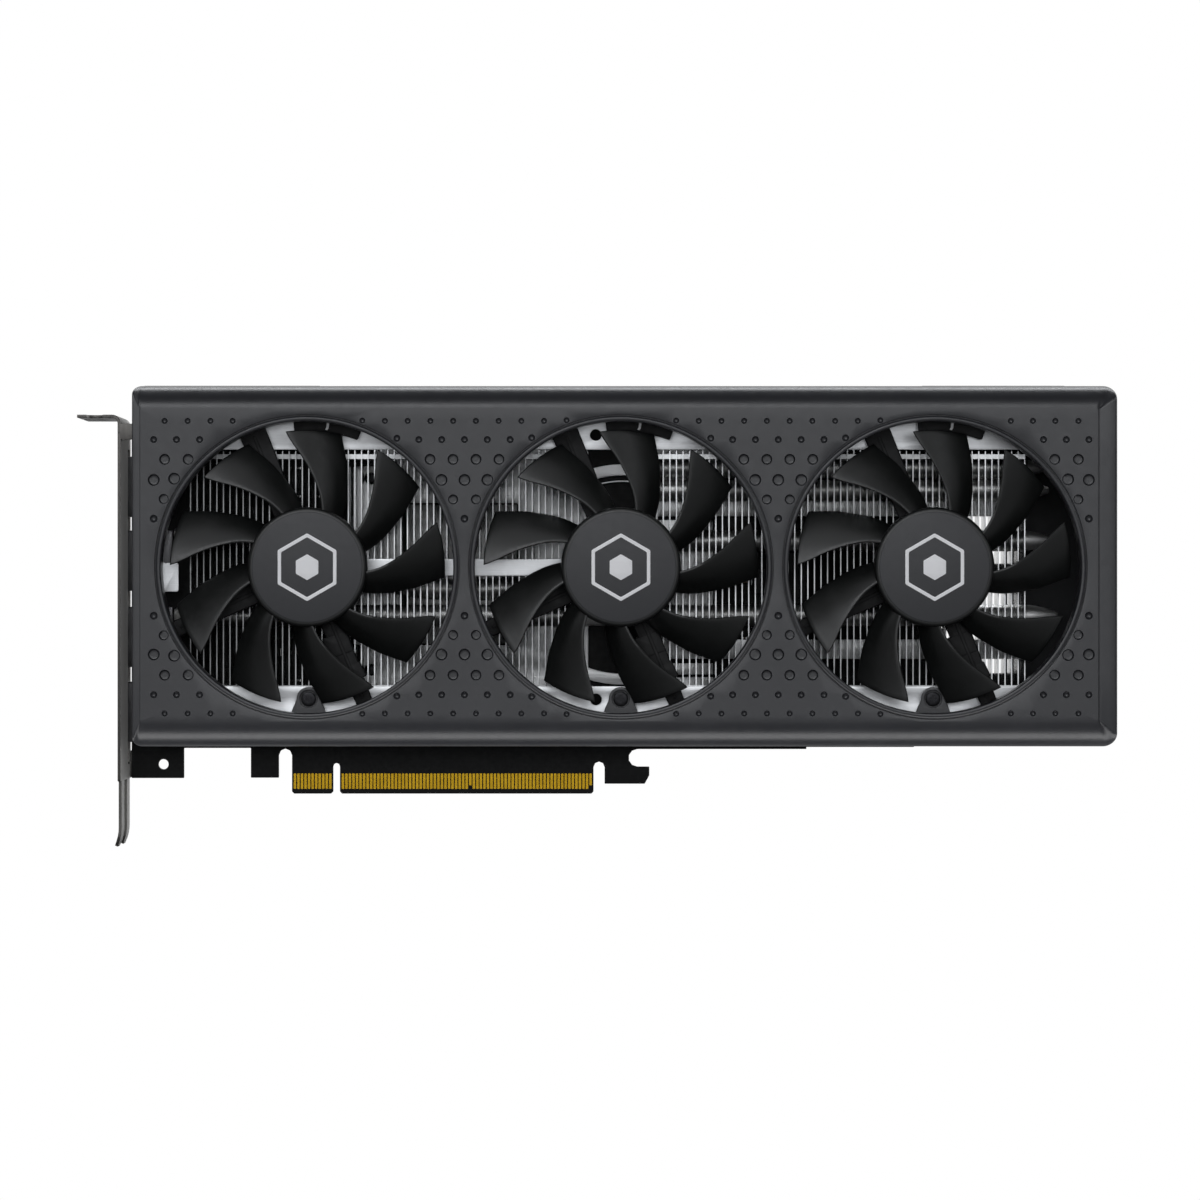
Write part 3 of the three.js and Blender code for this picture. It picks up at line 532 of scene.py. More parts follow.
def fin_metal():
    """Thin aluminium sheet: matt sheared edges, rolled smooth sides; the edges carry painted shade
    that varies along the card.
    """
    side = (0.50, 0.505, 0.51)
    s = Shader("fin_aluminium")
    flat = s.remap(s.math("ABSOLUTE", s.facing_x()), 0.0, 1.0, start=0.5, end=0.8)
    streaks = s.streaks((60, 300, 30))
    edge = s.mottle(streaks, (0.50, 0.51, 0.515), (0.66, 0.67, 0.675))
    # painted shade: the edges' colour is multiplied by a ramp over x along the card
    x = s.split(s.position)["X"]
    painted_shade = s.node("ShaderNodeValToRGB")
    elements = painted_shade.color_ramp.elements
    for i, (at, value) in enumerate(FIN_EDGE_PAINTED_SHADE):
        place = (at - FIN_EDGE_PAINTED_SHADE_START) / (FIN_EDGE_PAINTED_SHADE_END - FIN_EDGE_PAINTED_SHADE_START)
        element = elements[i] if i < 2 else elements.new(place)
        element.position = place
        element.color = (value, value, value, 1)
    feed(s.tree, painted_shade.inputs["Fac"], s.remap(x, 0.0, 1.0, FIN_EDGE_PAINTED_SHADE_START, FIN_EDGE_PAINTED_SHADE_END))
    edge = s.mix(1.0, edge, painted_shade.outputs["Color"], blend="MULTIPLY")
    return s.surface(
        color=s.mix(flat, edge, s.mottle(s.noise(90), side, scaled(side, 1.2))),
        metallic=1.0,
        roughness=s.math("SUBTRACT", s.vary(s.noise(260), 0.30, 0.42),
                         s.math("MULTIPLY", flat, 0.16)),
        normal=s.bump(streaks, strength=0.06, distance=0.00004))


def solder_mask():
    """Black solder mask over faint tracks."""
    s = Shader("board_solder_mask")
    place = s.mapping((1, 1, 1))
    bricks = s.node("ShaderNodeTexBrick", Scale=260, Mortar_Size=0.03, Brick_Width=0.9,
                    Row_Height=0.35)
    axes = s.split(place)
    flat = s.node("ShaderNodeCombineXYZ", X=axes["X"], Y=axes["Z"])
    feed(s.tree, bricks.inputs["Vector"], flat.outputs[0])
    tracks = bricks.outputs["Fac"]
    base = s.mottle(s.noise(120), (0.0022, 0.0025, 0.0027), (0.0036, 0.0040, 0.0043))
    return s.surface(
        color=s.mix(s.math("MULTIPLY", tracks, 0.35), base, (0.007, 0.0075, 0.0085)),
        roughness=s.vary(s.noise(900), 0.30, 0.42),
        normal=s.bump(
            s.math("ADD", tracks, s.math("MULTIPLY", s.noise(2600, detail=2), 0.3)),
            strength=0.12, distance=0.00004),
        specular=0.12)


def powder_coat():
    """Fine orange peel, slight wear on the edges."""
    s = Shader("backplate_powder_coat")
    color = s.mottle(s.noise(70, detail=4), (0.015, 0.0153, 0.0165), (0.022, 0.0225, 0.024))
    color = s.edge_wear(color, (0.09, 0.09, 0.095), radius=0.0003, amount=0.35)
    peel = s.noise(1400, detail=2)
    fine = s.noise(5200, detail=2, roughness=0.6)
    return s.surface(
        color=color,
        roughness=s.vary(s.noise(500), 0.42, 0.55),
        normal=s.bump(s.math("ADD", peel, s.math("MULTIPLY", fine, 0.5)),
                      strength=0.16, distance=0.00006),
        specular=0.14)


# Key (a slot's name where the material is that slot's own), material name, dark, light,
# roughness range, grain frequency, bump strength, other arguments of plastic().
PLASTICS = [
    ("cover_plastic", "cover_plastic", (0.0165, 0.0170, 0.0200), (0.0205, 0.0212, 0.0245),
     (0.30, 0.36), 3200, 0.20, dict(wear=(0.032, 0.033, 0.037))),
    ("fan_plastic", "fan_plastic", (0.0030, 0.0034, 0.0033), (0.0050, 0.0056, 0.0054),
     (0.34, 0.42), 3600, 0.06, dict(coarse=90)),
    ("fan_frame", "fan_frame_plastic", (0.003, 0.0031, 0.0034), (0.0055, 0.0057, 0.006),
     (0.46, 0.58), 3000, 0.12, dict(specular=0.22)),
    ("fan_hub_label", "hub_label_vinyl", (0.0150, 0.0155, 0.0190), (0.0180, 0.0186, 0.0225),
     (0.40, 0.46), 5200, 0.05, {}),
    ("ink", "hub_mark_ink", (0.90, 0.90, 0.92), (0.95, 0.95, 0.96),
     (0.45, 0.55), 6000, 0.05, {}),
    ("socket_plastic", "socket_black_plastic", (0.008, 0.008, 0.009), (0.013, 0.013, 0.014),
     (0.35, 0.5), 3000, 0.1, {}),
    ("chip_black", "chip_epoxy", (0.012, 0.012, 0.013), (0.02, 0.02, 0.021),
     (0.5, 0.62), 4000, 0.15, {}),
    ("choke", "choke_ferrite", (0.05, 0.05, 0.052), (0.085, 0.085, 0.088),
     (0.5, 0.7), 2500, 0.3, {}),
    ("thermal_pad", "thermal_pad_silicone", (0.22, 0.24, 0.26), (0.30, 0.32, 0.34),
     (0.6, 0.8), 2600, 0.2, {}),
    ("substrate", "substrate_laminate", (0.02, 0.07, 0.04), (0.03, 0.10, 0.06),
     (0.35, 0.5), 2000, 0.08, {}),
    ("silicon", "die_silicon", (0.05, 0.055, 0.06), (0.07, 0.075, 0.08),
     (0.08, 0.16), 6000, 0.02, dict(specular=0.9)),
    ("magnet", "magnet_ferrite", (0.03, 0.03, 0.031), (0.05, 0.05, 0.052),
     (0.5, 0.65), 2600, 0.2, {}),
    ("passive", "ceramic_passive", (0.16, 0.11, 0.07), (0.24, 0.17, 0.11),
     (0.4, 0.55), 3000, 0.08, {}),
]
# Key, material name, dark, light, roughness range, streak frequency along X, Y and Z,
# bump strength, other arguments of metal().
METALS = [
    # brighter copy of the sheet aluminium for the base plate deep between the fins: painted light
    ("contact", "contact_plate_aluminium", (0.84, 0.843, 0.845), (0.93, 0.933, 0.935),
     (0.42, 0.55), (30, 500, 500), 0.12, {}),
    ("sheet_aluminium", "sheet_aluminium", (0.62, 0.63, 0.64), (0.74, 0.75, 0.76),
     (0.38, 0.50), (30, 500, 500), 0.12, {}),
    ("pipe_nickel", "pipe_nickel", (0.66, 0.66, 0.655), (0.80, 0.80, 0.79),
     (0.44, 0.54), (20, 260, 260), 0.08, {}),
    ("socket_shell", "socket_dark_nickel", (0.10, 0.10, 0.105), (0.17, 0.17, 0.175),
     (0.26, 0.38), (200, 200, 30), 0.08, {}),
    ("screw_black", "screw_black_zinc", (0.012, 0.012, 0.013), (0.03, 0.03, 0.032),
     (0.30, 0.42), (200, 200, 200), 0.12, {}),
    ("steel", "shaft_steel", (0.45, 0.45, 0.46), (0.62, 0.62, 0.63),
     (0.15, 0.25), (300, 20, 300), 0.08, {}),
    ("gold_contacts", "hard_gold", (0.42, 0.245, 0.010), (0.54, 0.335, 0.022),
     (0.24, 0.36), (900, 900, 60), 0.12, dict(coarse=300)),
    ("winding", "stator_winding", (0.35, 0.16, 0.06), (0.60, 0.32, 0.14),
     (0.25, 0.4), (60, 1800, 60), 0.4, {}),
    ("bearing_bronze", "bearing_bronze", (0.33, 0.22, 0.09), (0.45, 0.33, 0.16),
     (0.35, 0.5), (500, 500, 500), 0.2, {}),
    ("tin", "solder_tin", (0.52, 0.53, 0.54), (0.70, 0.71, 0.72),
     (0.25, 0.4), (300, 300, 300), 0.1, {}),
]
MATERIALS = {}
for recipe, rows in ((plastic, PLASTICS), (metal, METALS)):
    for key, *values, extras in rows:
        MATERIALS[key] = recipe(*values, **extras)
MATERIALS["fin_aluminium"] = fin_metal()
MATERIALS["bracket_metal"] = bracket_metal()
MATERIALS["circuit_board"] = solder_mask()
MATERIALS["backplate_metal"] = powder_coat()

# ----------------------------------------------------------------------- cover

COVER_FRONT = -38.0     # y of the face
COVER_BACK = -1.6       # y of the walls' back edges
COVER_WALL = 2          # thickness
OPENING_R = 42.16       # fan openings in the face, just outside the raised lip
OPENING_ROUND = 0.22    # how far their rounded edge spreads on the face
OPENING_STEPS = 144
LIP_OUTER, LIP_INNER = 41.74, 40.52
DUCT_BACK = -28.2

# Dimples lie in rows mirrored about the face's middle, in runs round two columns with a
# few more near the ends.
DIMPLE_MID_Z = 63.81
DIMPLE_RUN_X = (0.15481, 87.00311)
DIMPLE_GAP = 0.14       # least face between a dimple and an opening
# Height from the middle, radius, dimples in a run, their pitch, x of the ones near the ends.
DIMPLE_ROWS = [
    (40.48, 0.84, 10, 6.29235,
     (-82.8489, -76.4598, -70.1536, -64.0134, 151.3649, 157.4775, 163.6730, 170.0622)),
    (35.31, 0.98, 7, 6.32001, (-85.8637, -79.5575, -73.1684, 160.3816, 166.7155, 172.9663)),
    (29.86, 1.52, 4, 6.36150, (-82.8489, -76.3491, 163.5347, 170.0622)),
    (24.16, 1.66, 3, 6.36150, (-85.8637, -79.6958, 166.9920, 172.9663)),
    (18.76, 1.40, 2, 6.30618, (-82.8489, 170.0622)),
    (13.43, 1.10, 1, 0, (-85.8637, 172.9663)),
]
LARGE_DIMPLE_R = 1.2    # dimples over this are flat-bottomed cups, smaller ones are bowls
# Fraction of the radius, fraction of the depth.
CUP = [(1.0, 0.0), (0.975, 0.05), (0.94, 0.16), (0.88, 0.52), (0.83, 0.80), (0.76, 0.95),
       (0.66, 1.0), (0.3, 0.985)]
BOWL = [(1.0, 0.0), (0.96, 0.08), (0.88, 0.34), (0.76, 0.60), (0.6, 0.80), (0.4, 0.93),
        (0.2, 0.985)]

# Place of each edge, direction inwards, depth of the roll from face to wall.
COVER_EDGES = {
    "left": (COVER_LEFT, 1, 2.4),
    "bottom": (14.05, 1, 6.95),
    "right": (COVER_RIGHT + 0.4, -1, 5.6),
    "top": (114.15, -1, 6.4),
}
# Edges that meet, radius on the face, radius on the wall, start angle, steps to the next corner.
COVER_CORNERS = [
    ("left", "bottom", 0.5, 2.5, 180, 16),
    ("right", "bottom", 0.8, 3.7, 270, 6),
    ("right", "top", 0.8, 3.7, 0, 16),
    ("left", "top", 0.5, 2.5, 90, 6),
]
CORNER_STEPS = 10
OPEN_END_STEPS = 4      # steps the walls reach round the corners of the open left end
# Roll at the short ends, nearly flat then tight: fraction outwards, fraction backwards.
END_ROLL = [(0, 0), (0.012, 0.009), (0.03, 0.036), (0.06, 0.036), (0.08, 0.004), (0.25, 0.005),
            (0.5, 0.010), (0.72, 0.020), (0.86, 0.044), (0.94, 0.12), (0.985, 0.44), (1, 1)]
ROLL_START = 6          # degrees; the fine crease where the roll leaves the face
# Long walls: y of the back edge at the left, then the (x, y) points of its step or notch.
WALL_BACKS = {
    "bottom": (-8.2, [*arc(-83.1, -6.7, 1.5, 270, 360, 4), (-81.6, COVER_BACK)]),
    "top": (COVER_BACK, [(68.4, COVER_BACK), *arc(69.9, -16.5, 1.5, 180, 270, 4),
                         *arc(90.7, -16.5, 1.5, 270, 360, 4), (92.2, COVER_BACK)]),
}
# X ranges of the rounded slots in the long walls.
WALL_SLOTS = {
    "bottom": ((-82, -46), (-36, 12), (22, 70), (80, 120), (130, 168)),
    "top": ((-82, -46), (-36, 12), (20, 60), (100, 120)),
}
SLOT_FRONT, SLOT_BACK, SLOT_R = -23, -9, 2.0


def clear_of_openings(x, z, radius):
    """Move a dimple just outside the openings; None if it lies well inside one."""
    for fan_x, fan_z in FAN_CENTERS.values():
        distance = hypot(x - fan_x, z - fan_z)
        need = OPENING_R + OPENING_ROUND + radius + DIMPLE_GAP
        if distance < need:
            if need - distance > 1.0:
                return None
            x = fan_x + (x - fan_x) * need / distance
            z = fan_z + (z - fan_z) * need / distance
    return x, z, radius


def dimple_places():
    places = []
    for side in (1, -1):
        for height, radius, count, pitch, end_columns in DIMPLE_ROWS:
            columns = [middle + pitch * (k - (count - 1) / 2)
                       for middle in DIMPLE_RUN_X for k in range(count)]
            for x in (*columns, *end_columns):
                places.append(clear_of_openings(x, DIMPLE_MID_Z + side * height, radius))
    return [place for place in places if place]


DIMPLES = dimple_places()


def dimple_steps(radius):
    return 28 if radius > LARGE_DIMPLE_R else 20


def rim_points(inset):
    """Points round the cover, and the index where each corner starts.

    A point is (face x, face z, wall x, wall z, roll depth, share of the end roll)."""
    corners = []
    for x_edge, z_edge, face_r, wall_r, start, _ in COVER_CORNERS:
        x, inward_x, depth_x = COVER_EDGES[x_edge]
        z, inward_z, depth_z = COVER_EDGES[z_edge]
        first, last = (depth_x, 1), (depth_z, 0)
        if start % 180:
            first, last = last, first
        corner = []
        for i in range(CORNER_STEPS + 1):
            k = i / CORNER_STEPS
            c, s = polar(0, 0, 1, start + 90 * k)
            ease = 0.5 - 0.5 * cos(pi * k)
            corner.append((
                x + inward_x * (depth_x + face_r) + face_r * c,
                z + inward_z * (depth_z + face_r) + face_r * s,
                x + inward_x * wall_r + (wall_r - inset) * c,
                z + inward_z * wall_r + (wall_r - inset) * s,
                *(a + (b - a) * ease for a, b in zip(first, last))))
        corners.append(corner)
    rim, starts = [], []
    for i, corner in enumerate(corners):
        starts.append(len(rim))
        rim += corner
        ahead, steps = corners[(i + 1) % 4][0], COVER_CORNERS[i][-1]
        rim += [tuple(a + (b - a) * j / steps for a, b in zip(corner[-1], ahead))
                for j in range(1, steps)]
    return rim, starts


def curtain(part, points, back_y):
    """Wall from a line of points straight back; returns its points, front and back in turn."""
    pairs = [p for x, y, z in points for p in ((x, y, z), (x, back_y, z))]
    part.add(pairs, [[2 * k, 2 * k + 2, 2 * k + 3, 2 * k + 1] for k in range(len(points) - 1)])
    return pairs


def cover_skin(part, inset):
    """One surface of the cover, inset from the outside; returns its open edges as
    (points, closed) for joining to the other surface."""
    face_y = COVER_FRONT + inset
    rim, (bottom_left, bottom_right, top_right, top_left) = rim_points(inset)
    bottom_left_end, top_right_end = bottom_left + CORNER_STEPS, top_right + CORNER_STEPS
    # rolled edge, round along the long sides
    crease = radians(ROLL_START)
    rows = []
    for j, (end_out, end_back) in enumerate(END_ROLL):
        angle = radians(ROLL_START + (90 - ROLL_START) * j / (len(END_ROLL) - 1))
        round_out = (sin(angle) - sin(crease)) / (1 - sin(crease))
        round_back = (cos(crease) - cos(angle)) / cos(crease)
        row = []
        for face_x, face_z, wall_x, wall_z, depth, end_share in rim:
            out = round_out + (end_out - round_out) * end_share
            back = round_back + (end_back - round_back) * end_share
            row.append((face_x + (wall_x - face_x) * out, face_y + (depth - inset) * back,
                        face_z + (wall_z - face_z) * out))
        rows.append(row)
    part.loft(rows)
    # face
    loops = [[point[:2] for point in rim]]
    opening_r = OPENING_R + (0 if inset else OPENING_ROUND)
    loops += [circle(x, z, opening_r, OPENING_STEPS) for x, z in FAN_CENTERS.values()]
    if not inset:
        loops += [circle(x, z, radius, dimple_steps(radius)) for x, z, radius in DIMPLES]
    points, faces = fill(loops)
    part.add([(x, face_y, z) for x, z in points], faces, smooth=False)
    # right end
    walls = [(x, face_y + depth - inset, z) for _, _, x, z, depth, _ in rim]
    right = walls[bottom_right:top_right_end + 1]
    curtain(part, right, COVER_BACK)
    # long walls
    seams = {}
    for side, wall in (("bottom", walls[bottom_left_end:bottom_right + 1]),
                       ("top", walls[top_right_end:top_left + 1][::-1])):
        x_left, x_right, z = wall[0][0], wall[-1][0], wall[0][2]
        left_y, step = WALL_BACKS[side]
        back = [(x_left, left_y), *step, (x_right, COVER_BACK)]
        slots = [round_rect(x0, SLOT_FRONT, x1, SLOT_BACK, SLOT_R) for x0, x1 in WALL_SLOTS[side]]
        points, faces = fill([[(x, y) for x, y, _ in wall] + back[::-1]] + slots)
        part.add([(x, y, z) for x, y in points], faces, smooth=False)
        seams[side] = [([(x, y, z) for x, y in back], False)]
        seams[side] += [([(x, y, z) for x, y in slot], True) for slot in slots]
    # the part of each left corner next to the open end
    low_corner = walls[bottom_left_end - OPEN_END_STEPS:bottom_left_end + 1][::-1]
    high_corner = walls[top_left:top_left + OPEN_END_STEPS + 1]
    for side, corner in (("bottom", low_corner), ("top", high_corner)):
        pairs = curtain(part, corner, WALL_BACKS[side][0])
        seams[side] += [(pairs[-2:], False), (pairs[1::2], False)]
    left = walls[top_left + OPEN_END_STEPS:] + walls[:bottom_left_end - OPEN_END_STEPS + 1]
    right_back = [(x, COVER_BACK, z) for x, _, z in right]
    return seams["top"] + seams["bottom"] + [(left, False), (right_back, False)]


def add_dimples(part):
    for x, z, radius in DIMPLES:
        large = radius > LARGE_DIMPLE_R
        depth, profile = (1.05, CUP) if large else (0.75 * radius, BOWL)
        rings = [[(u, COVER_FRONT + depth * down, v)
                  for u, v in circle(x, z, radius * share, dimple_steps(radius))]
                 for share, down in profile]
        part.loft(rings, tip=(x, COVER_FRONT + depth * profile[-1][1], z))


def add_opening(part, x, z):
    """Rounded edge, groove, raised lip and duct, with the posts and the screw ear behind."""
    part.lathe([(OPENING_R + OPENING_ROUND, COVER_FRONT), (OPENING_R + 0.09, COVER_FRONT + 0.04),
                (OPENING_R + 0.02, COVER_FRONT + 0.16), (OPENING_R, COVER_FRONT + 0.4),
                (OPENING_R, COVER_FRONT + COVER_WALL)], x, z, OPENING_STEPS, closed=False)
    part.lathe([(LIP_INNER, DUCT_BACK), (LIP_INNER, -37.75), (LIP_INNER + 0.07, -38.05),
                (LIP_INNER + 0.25, -38.3), (LIP_INNER + 0.55, -38.4), (LIP_INNER + 0.9, -38.38),
                (LIP_INNER + 1.2, -38.22), (LIP_INNER + 1.38, -37.95), (LIP_OUTER, -37.6),
                (LIP_OUTER, -37.1), (LIP_OUTER + 2.2, -37.1), (LIP_OUTER + 2.2, -36.6),
                (LIP_OUTER, -36.6), (LIP_OUTER, DUCT_BACK)], x, z, OPENING_STEPS)
    post = [(0, -36.4), (2.4, -36.4), (2.4, -28.4), (2.2, DUCT_BACK), (0, DUCT_BACK)]
    for angle in STRUT_ANGLES:
        part.lathe(post, *polar(x, z, POST_RING_R, angle), 24, closed=False)
    screw_z = z - EAR_DROP
    flank = [(5.0, z - LIP_INNER - 0.6), (4.3, screw_z - 2.3), (3.7, screw_z - 1.1)]
    ear = ([(x + u, v) for u, v in flank] + arc(x, screw_z, 3.35, 0, 180, 20)
           + [(x - u, v) for u, v in flank[::-1]])
    part.plate([ear, circle(x, screw_z, 2.4, 28)], TO_XZ, -28.5, -27.32, 0.2)
    part.plate([ear, circle(x, screw_z, 1.4, 24)], TO_XZ, -27.3, -26.2, 0.12, steps=1)


def build_cover():
    part = Part()
    outer = cover_skin(part, 0)
    inner = cover_skin(part, COVER_WALL)
    for (outer_edge, closed), (inner_edge, _) in zip(outer, inner):
        part.band(outer_edge, inner_edge, closed, smooth=closed)
    add_dimples(part)
    for x, z in FAN_CENTERS.values():
        add_opening(part, x, z)
    # shallow ribs along the top wall
    for x0, x1 in ((-89.2, -40), (127, 167)):
        part.box(x0, x1, -30, COVER_BACK - 0.1, 113.2, 114.3, 0.35)
    made = make("cover", part, "cover_plastic", "shroud", weld=2e-4, angle=30)
    # keep the long plain walls flat where they meet the rounded corners
    walls = made.vertex_groups.new(name="walls")
    walls.add([v.index for v in made.data.vertices if v.co.y > -0.0330], 1.0, "REPLACE")
    flatten = made.modifiers.new("flat_walls", "WEIGHTED_NORMAL")
    flatten.weight, flatten.keep_sharp, flatten.vertex_group = 50, True, "walls"
    return made


# ------------------------------------------------------------------------ fans

BLADES = 9
# Radius, angle of the deep edge, angle of the front edge, in degrees.
BLADE_TABLE = [
    (14.8, 14.2, 34.2), (16.6, 15.5, 36.0), (20.2, 18.9, 40.0), (23.5, 22.5, 44.2),
    (26.9, 26.2, 48.5), (30.4, 29.2, 52.5), (33.8, 32.5, 56.2), (36.4, 34.7, 58.3),
    (38.06, 35.8, 59.1)]
BLADE_DEEP_Y, BLADE_FRONT_Y = -29.4, -36.0
BLADE_BOW = 3.3         # forward bow coefficient between the two edges
BLADE_ROOT_R, BLADE_BODY_R = 14.9, 37.75
BLADE_TIP = [(37.93, 0.85), (38.06, 0.5)]   # radius, share of the thickness

# Turned pieces of a fan: radius, y.
HUB = [(0, -36.8), (15.54, -36.8), (15.84, -36.74), (16.14, -36.55), (16.39, -36.25),
       (16.57, -35.85), (16.65, -35.35), (16.65, -28.9), (16.5, -28.6), (14.4, -28.6),
       (14.3, -28.7), (14.3, -35.2), (3.2, -35.2), (3.2, -33.6), (1.55, -33.6), (1.55, -35.8),
       (0, -35.8)]
LABEL = [(0, -36.7), (15.3, -36.7), (15.3, -36.92), (15.22, -36.98), (15.1, -37.0), (0, -37.0)]
MAGNET = [(12.6, -34.9), (12.7, -35.0), (14.1, -35.0), (14.2, -34.9), (14.2, -29.1),
          (14.1, -29.0), (12.7, -29.0), (12.6, -29.1)]
SPINDLE = [(0, -35.7), (1.35, -35.7), (1.5, -35.55), (1.5, -27.6), (1.3, -27.4), (1.3, -27.0),
           (1.5, -26.8), (1.5, -26.4), (1.3, -26.2), (0, -26.2)]
CARRIER_HUB = [(0, -25.6), (12.7, -25.6), (13, -25.9), (13, -27.6), (12.6, -28.0), (3.8, -28.0),
               (3.8, -33.0), (3.6, -33.2), (3.1, -33.2), (3.0, -33.0), (3.0, -26.0), (0, -26.0)]
BUSH = [(1.6, -32.8), (1.75, -33.0), (2.8, -33.0), (2.95, -32.8), (2.95, -26.8), (2.8, -26.6),
        (1.75, -26.6), (1.6, -26.8)]
# One tooth of the stator: degrees from its middle, radius.
TOOTH = [(-15, 6.2), (-8.4, 9.8), (-24, 10.2), (-24, 12.1), (-12, 12.25), (0, 12.3),
         (12, 12.25), (24, 12.1), (24, 10.2), (8.4, 9.8), (15, 6.2)]
TEETH = 6
# Tick on the carrier: distance from the fan's axis, distance across.
TICK = [(38.5, -0.05), (39.1, -0.35), (40.6, -0.35), (40.6, 0.35), (39.2, 0.35), (38.6, 0.6)]


def blade_angles(radius):
    for a, b in zip(BLADE_TABLE, BLADE_TABLE[1:]):
        if radius <= b[0]:
            k = (radius - a[0]) / (b[0] - a[0])
            return [radians(a[c] + (b[c] - a[c]) * k) for c in (1, 2)]


def blade_section(radius, shrink=1.0, steps=14):
    """Closed section of a blade: thickness tapers to rounded edges."""
    start, end = blade_angles(radius)
    width = radius * (end - start)
    slope = atan2(BLADE_DEEP_Y - BLADE_FRONT_Y, width)
    front, rear = [], []
    for j in range(steps + 1):
        s = 0.5 - 0.5 * cos(pi * j / steps)
        y = BLADE_DEEP_Y + (BLADE_FRONT_Y - BLADE_DEEP_Y) * s - BLADE_BOW * s * (1 - s)
        angle = start + (end - start) * s
        half = (0.47 - 0.10 * abs(2 * s - 1)) * shrink
        to_edge = min(s, 1 - s) * width
        if to_edge < 0.4:
            half *= sqrt(max(0.0, 1 - (1 - to_edge / 0.4) ** 2))
        for side, offset in ((front, -half), (rear, half)):
            around, back = sin(slope) * offset, cos(slope) * offset
            side.append((radius * cos(angle) - sin(angle) * around, y + back,
                         radius * sin(angle) + cos(angle) * around))
    return front + rear[-2:0:-1]


def build_impeller(fan, x, z):
    radii = [BLADE_ROOT_R + (BLADE_BODY_R - BLADE_ROOT_R) * i / 22 for i in range(23)]
    sections = [blade_section(r) for r in radii] + [blade_section(*tip) for tip in BLADE_TIP]
    blade = Part().loft(sections, capped=True)
    part = Part()
    for k in range(BLADES):
        turn = Matrix.Rotation(-radians(360 / BLADES * k), 4, "Y")
        part.take(blade, Matrix.Translation((x, 0, z)) @ turn)
    part.lathe(HUB, x, z, 96, closed=False)
    return make(f"fan_{fan}_blades", part, "fan_plastic", f"fan_{fan}_impeller",
                body=f"fan_{fan}_rotor", weld=1e-4, angle=38)


def build_rotor_core(fan, x, z):
    """Label with its printed hexagons, magnet ring and spindle."""
    rotor = f"fan_{fan}_rotor"
    make(f"fan_{fan}_label", Part().lathe(LABEL, x, z, 96, closed=False), "fan_hub_label",
         f"fan_{fan}_hub_label", body=rotor, weld=1e-4, angle=30)

    def hexagon(radius, rounding):
        return soften([polar(x, z, radius, 60 * k + 90) for k in range(6)], rounding)

    ink = Part()
    for loops in ([hexagon(9.4, 0.6), hexagon(8.3, 0.5)], [hexagon(3.6, 0.4)]):
        ink.plate(loops, TO_XZ, -37.05, -36.95, 0.02, steps=1)
    make(f"fan_{fan}_mark", ink, "fan_hub_label", material="ink", body=rotor)
    make(f"fan_{fan}_magnet", Part().lathe(MAGNET, x, z, 72), "magnet",
         f"fan_{fan}_magnet_ring", body=rotor, weld=1e-4)
    make(f"fan_{fan}_spindle", Part().lathe(SPINDLE, x, z, 32, closed=False), "steel",
         f"fan_{fan}_shaft", body=rotor, weld=1e-4)


def spoke(x, z, angle, r0, r1, half0, half1, rounding=0.5):
    outline = [(r0, -half0), (r1, -half1), (r1, half1), (r0, half0)]
    return soften(turned(outline, x, z, angle), rounding)


def build_carrier(fan, x, z):
    """Fixed frame behind the blades, with a pale tick on its foot."""
    part = Part().lathe(CARRIER_HUB, x, z, 72, closed=False)
    for i, angle in enumerate(STRUT_ANGLES):
        end_half = 3.8 if i == 0 else 2.2
        part.plate([spoke(x, z, angle, 11, 43.4, 3.4, end_half)], TO_XZ,
                   -27.94 - 0.01 * i, -25.66 + 0.01 * i, 0.35, steps=3)
        # stiffening rib down the middle of the strut, and the ear at its end
        part.plate([spoke(x, z, angle, 13, 39.5, 0.55, 0.45, 0.2)], TO_XZ, -28.15, -27.0, 0.15)
        ear_x, ear_z = polar(x, z, POST_RING_R, angle)
        part.plate([circle(ear_x, ear_z, 3.3, 40), circle(ear_x, ear_z, 1.2, 24)], TO_XZ,
                   -28.0, -25.6, 0.25)
    # raised blocks on the lower right strut
    part.plate([spoke(x, z, 290.2, 19.9, 26.2, 3.4, 3.9, 0.6)], TO_XZ, -28.02, -25.62, 0.3)
    part.plate([spoke(x, z, 295, 29.6, 34.2, 1.8, 1.9, 0.4)], TO_XZ, -27.97, -25.64, 0.25)
    # curved foot at the top, and the thin arc that joins it to the first strut
    foot = arc(x, z, 37.9, 69, 96, 16) + arc(x, z, 43.2, 96, 69, 16)
    part.plate([soften(foot, 0.7)], TO_XZ, -27.98, -25.63, 0.3)
    link = arc(x, z, 40.9, 94, 111, 10) + arc(x, z, 43.2, 111, 94, 10)
    part.plate([soften(link, 0.4)], TO_XZ, -27.9, -25.7, 0.3)
    make(f"fan_{fan}_carrier", part, "fan_plastic", f"fan_{fan}_frame", material="fan_frame",
         angle=34)
    tick = Part().plate([soften(turned(TICK, x, z, 82.3), 0.15)], TO_XZ, -28.03, -27.9, 0.02,
                        steps=1)
    make(f"fan_{fan}_tick", tick, "fan_plastic", material="ink")


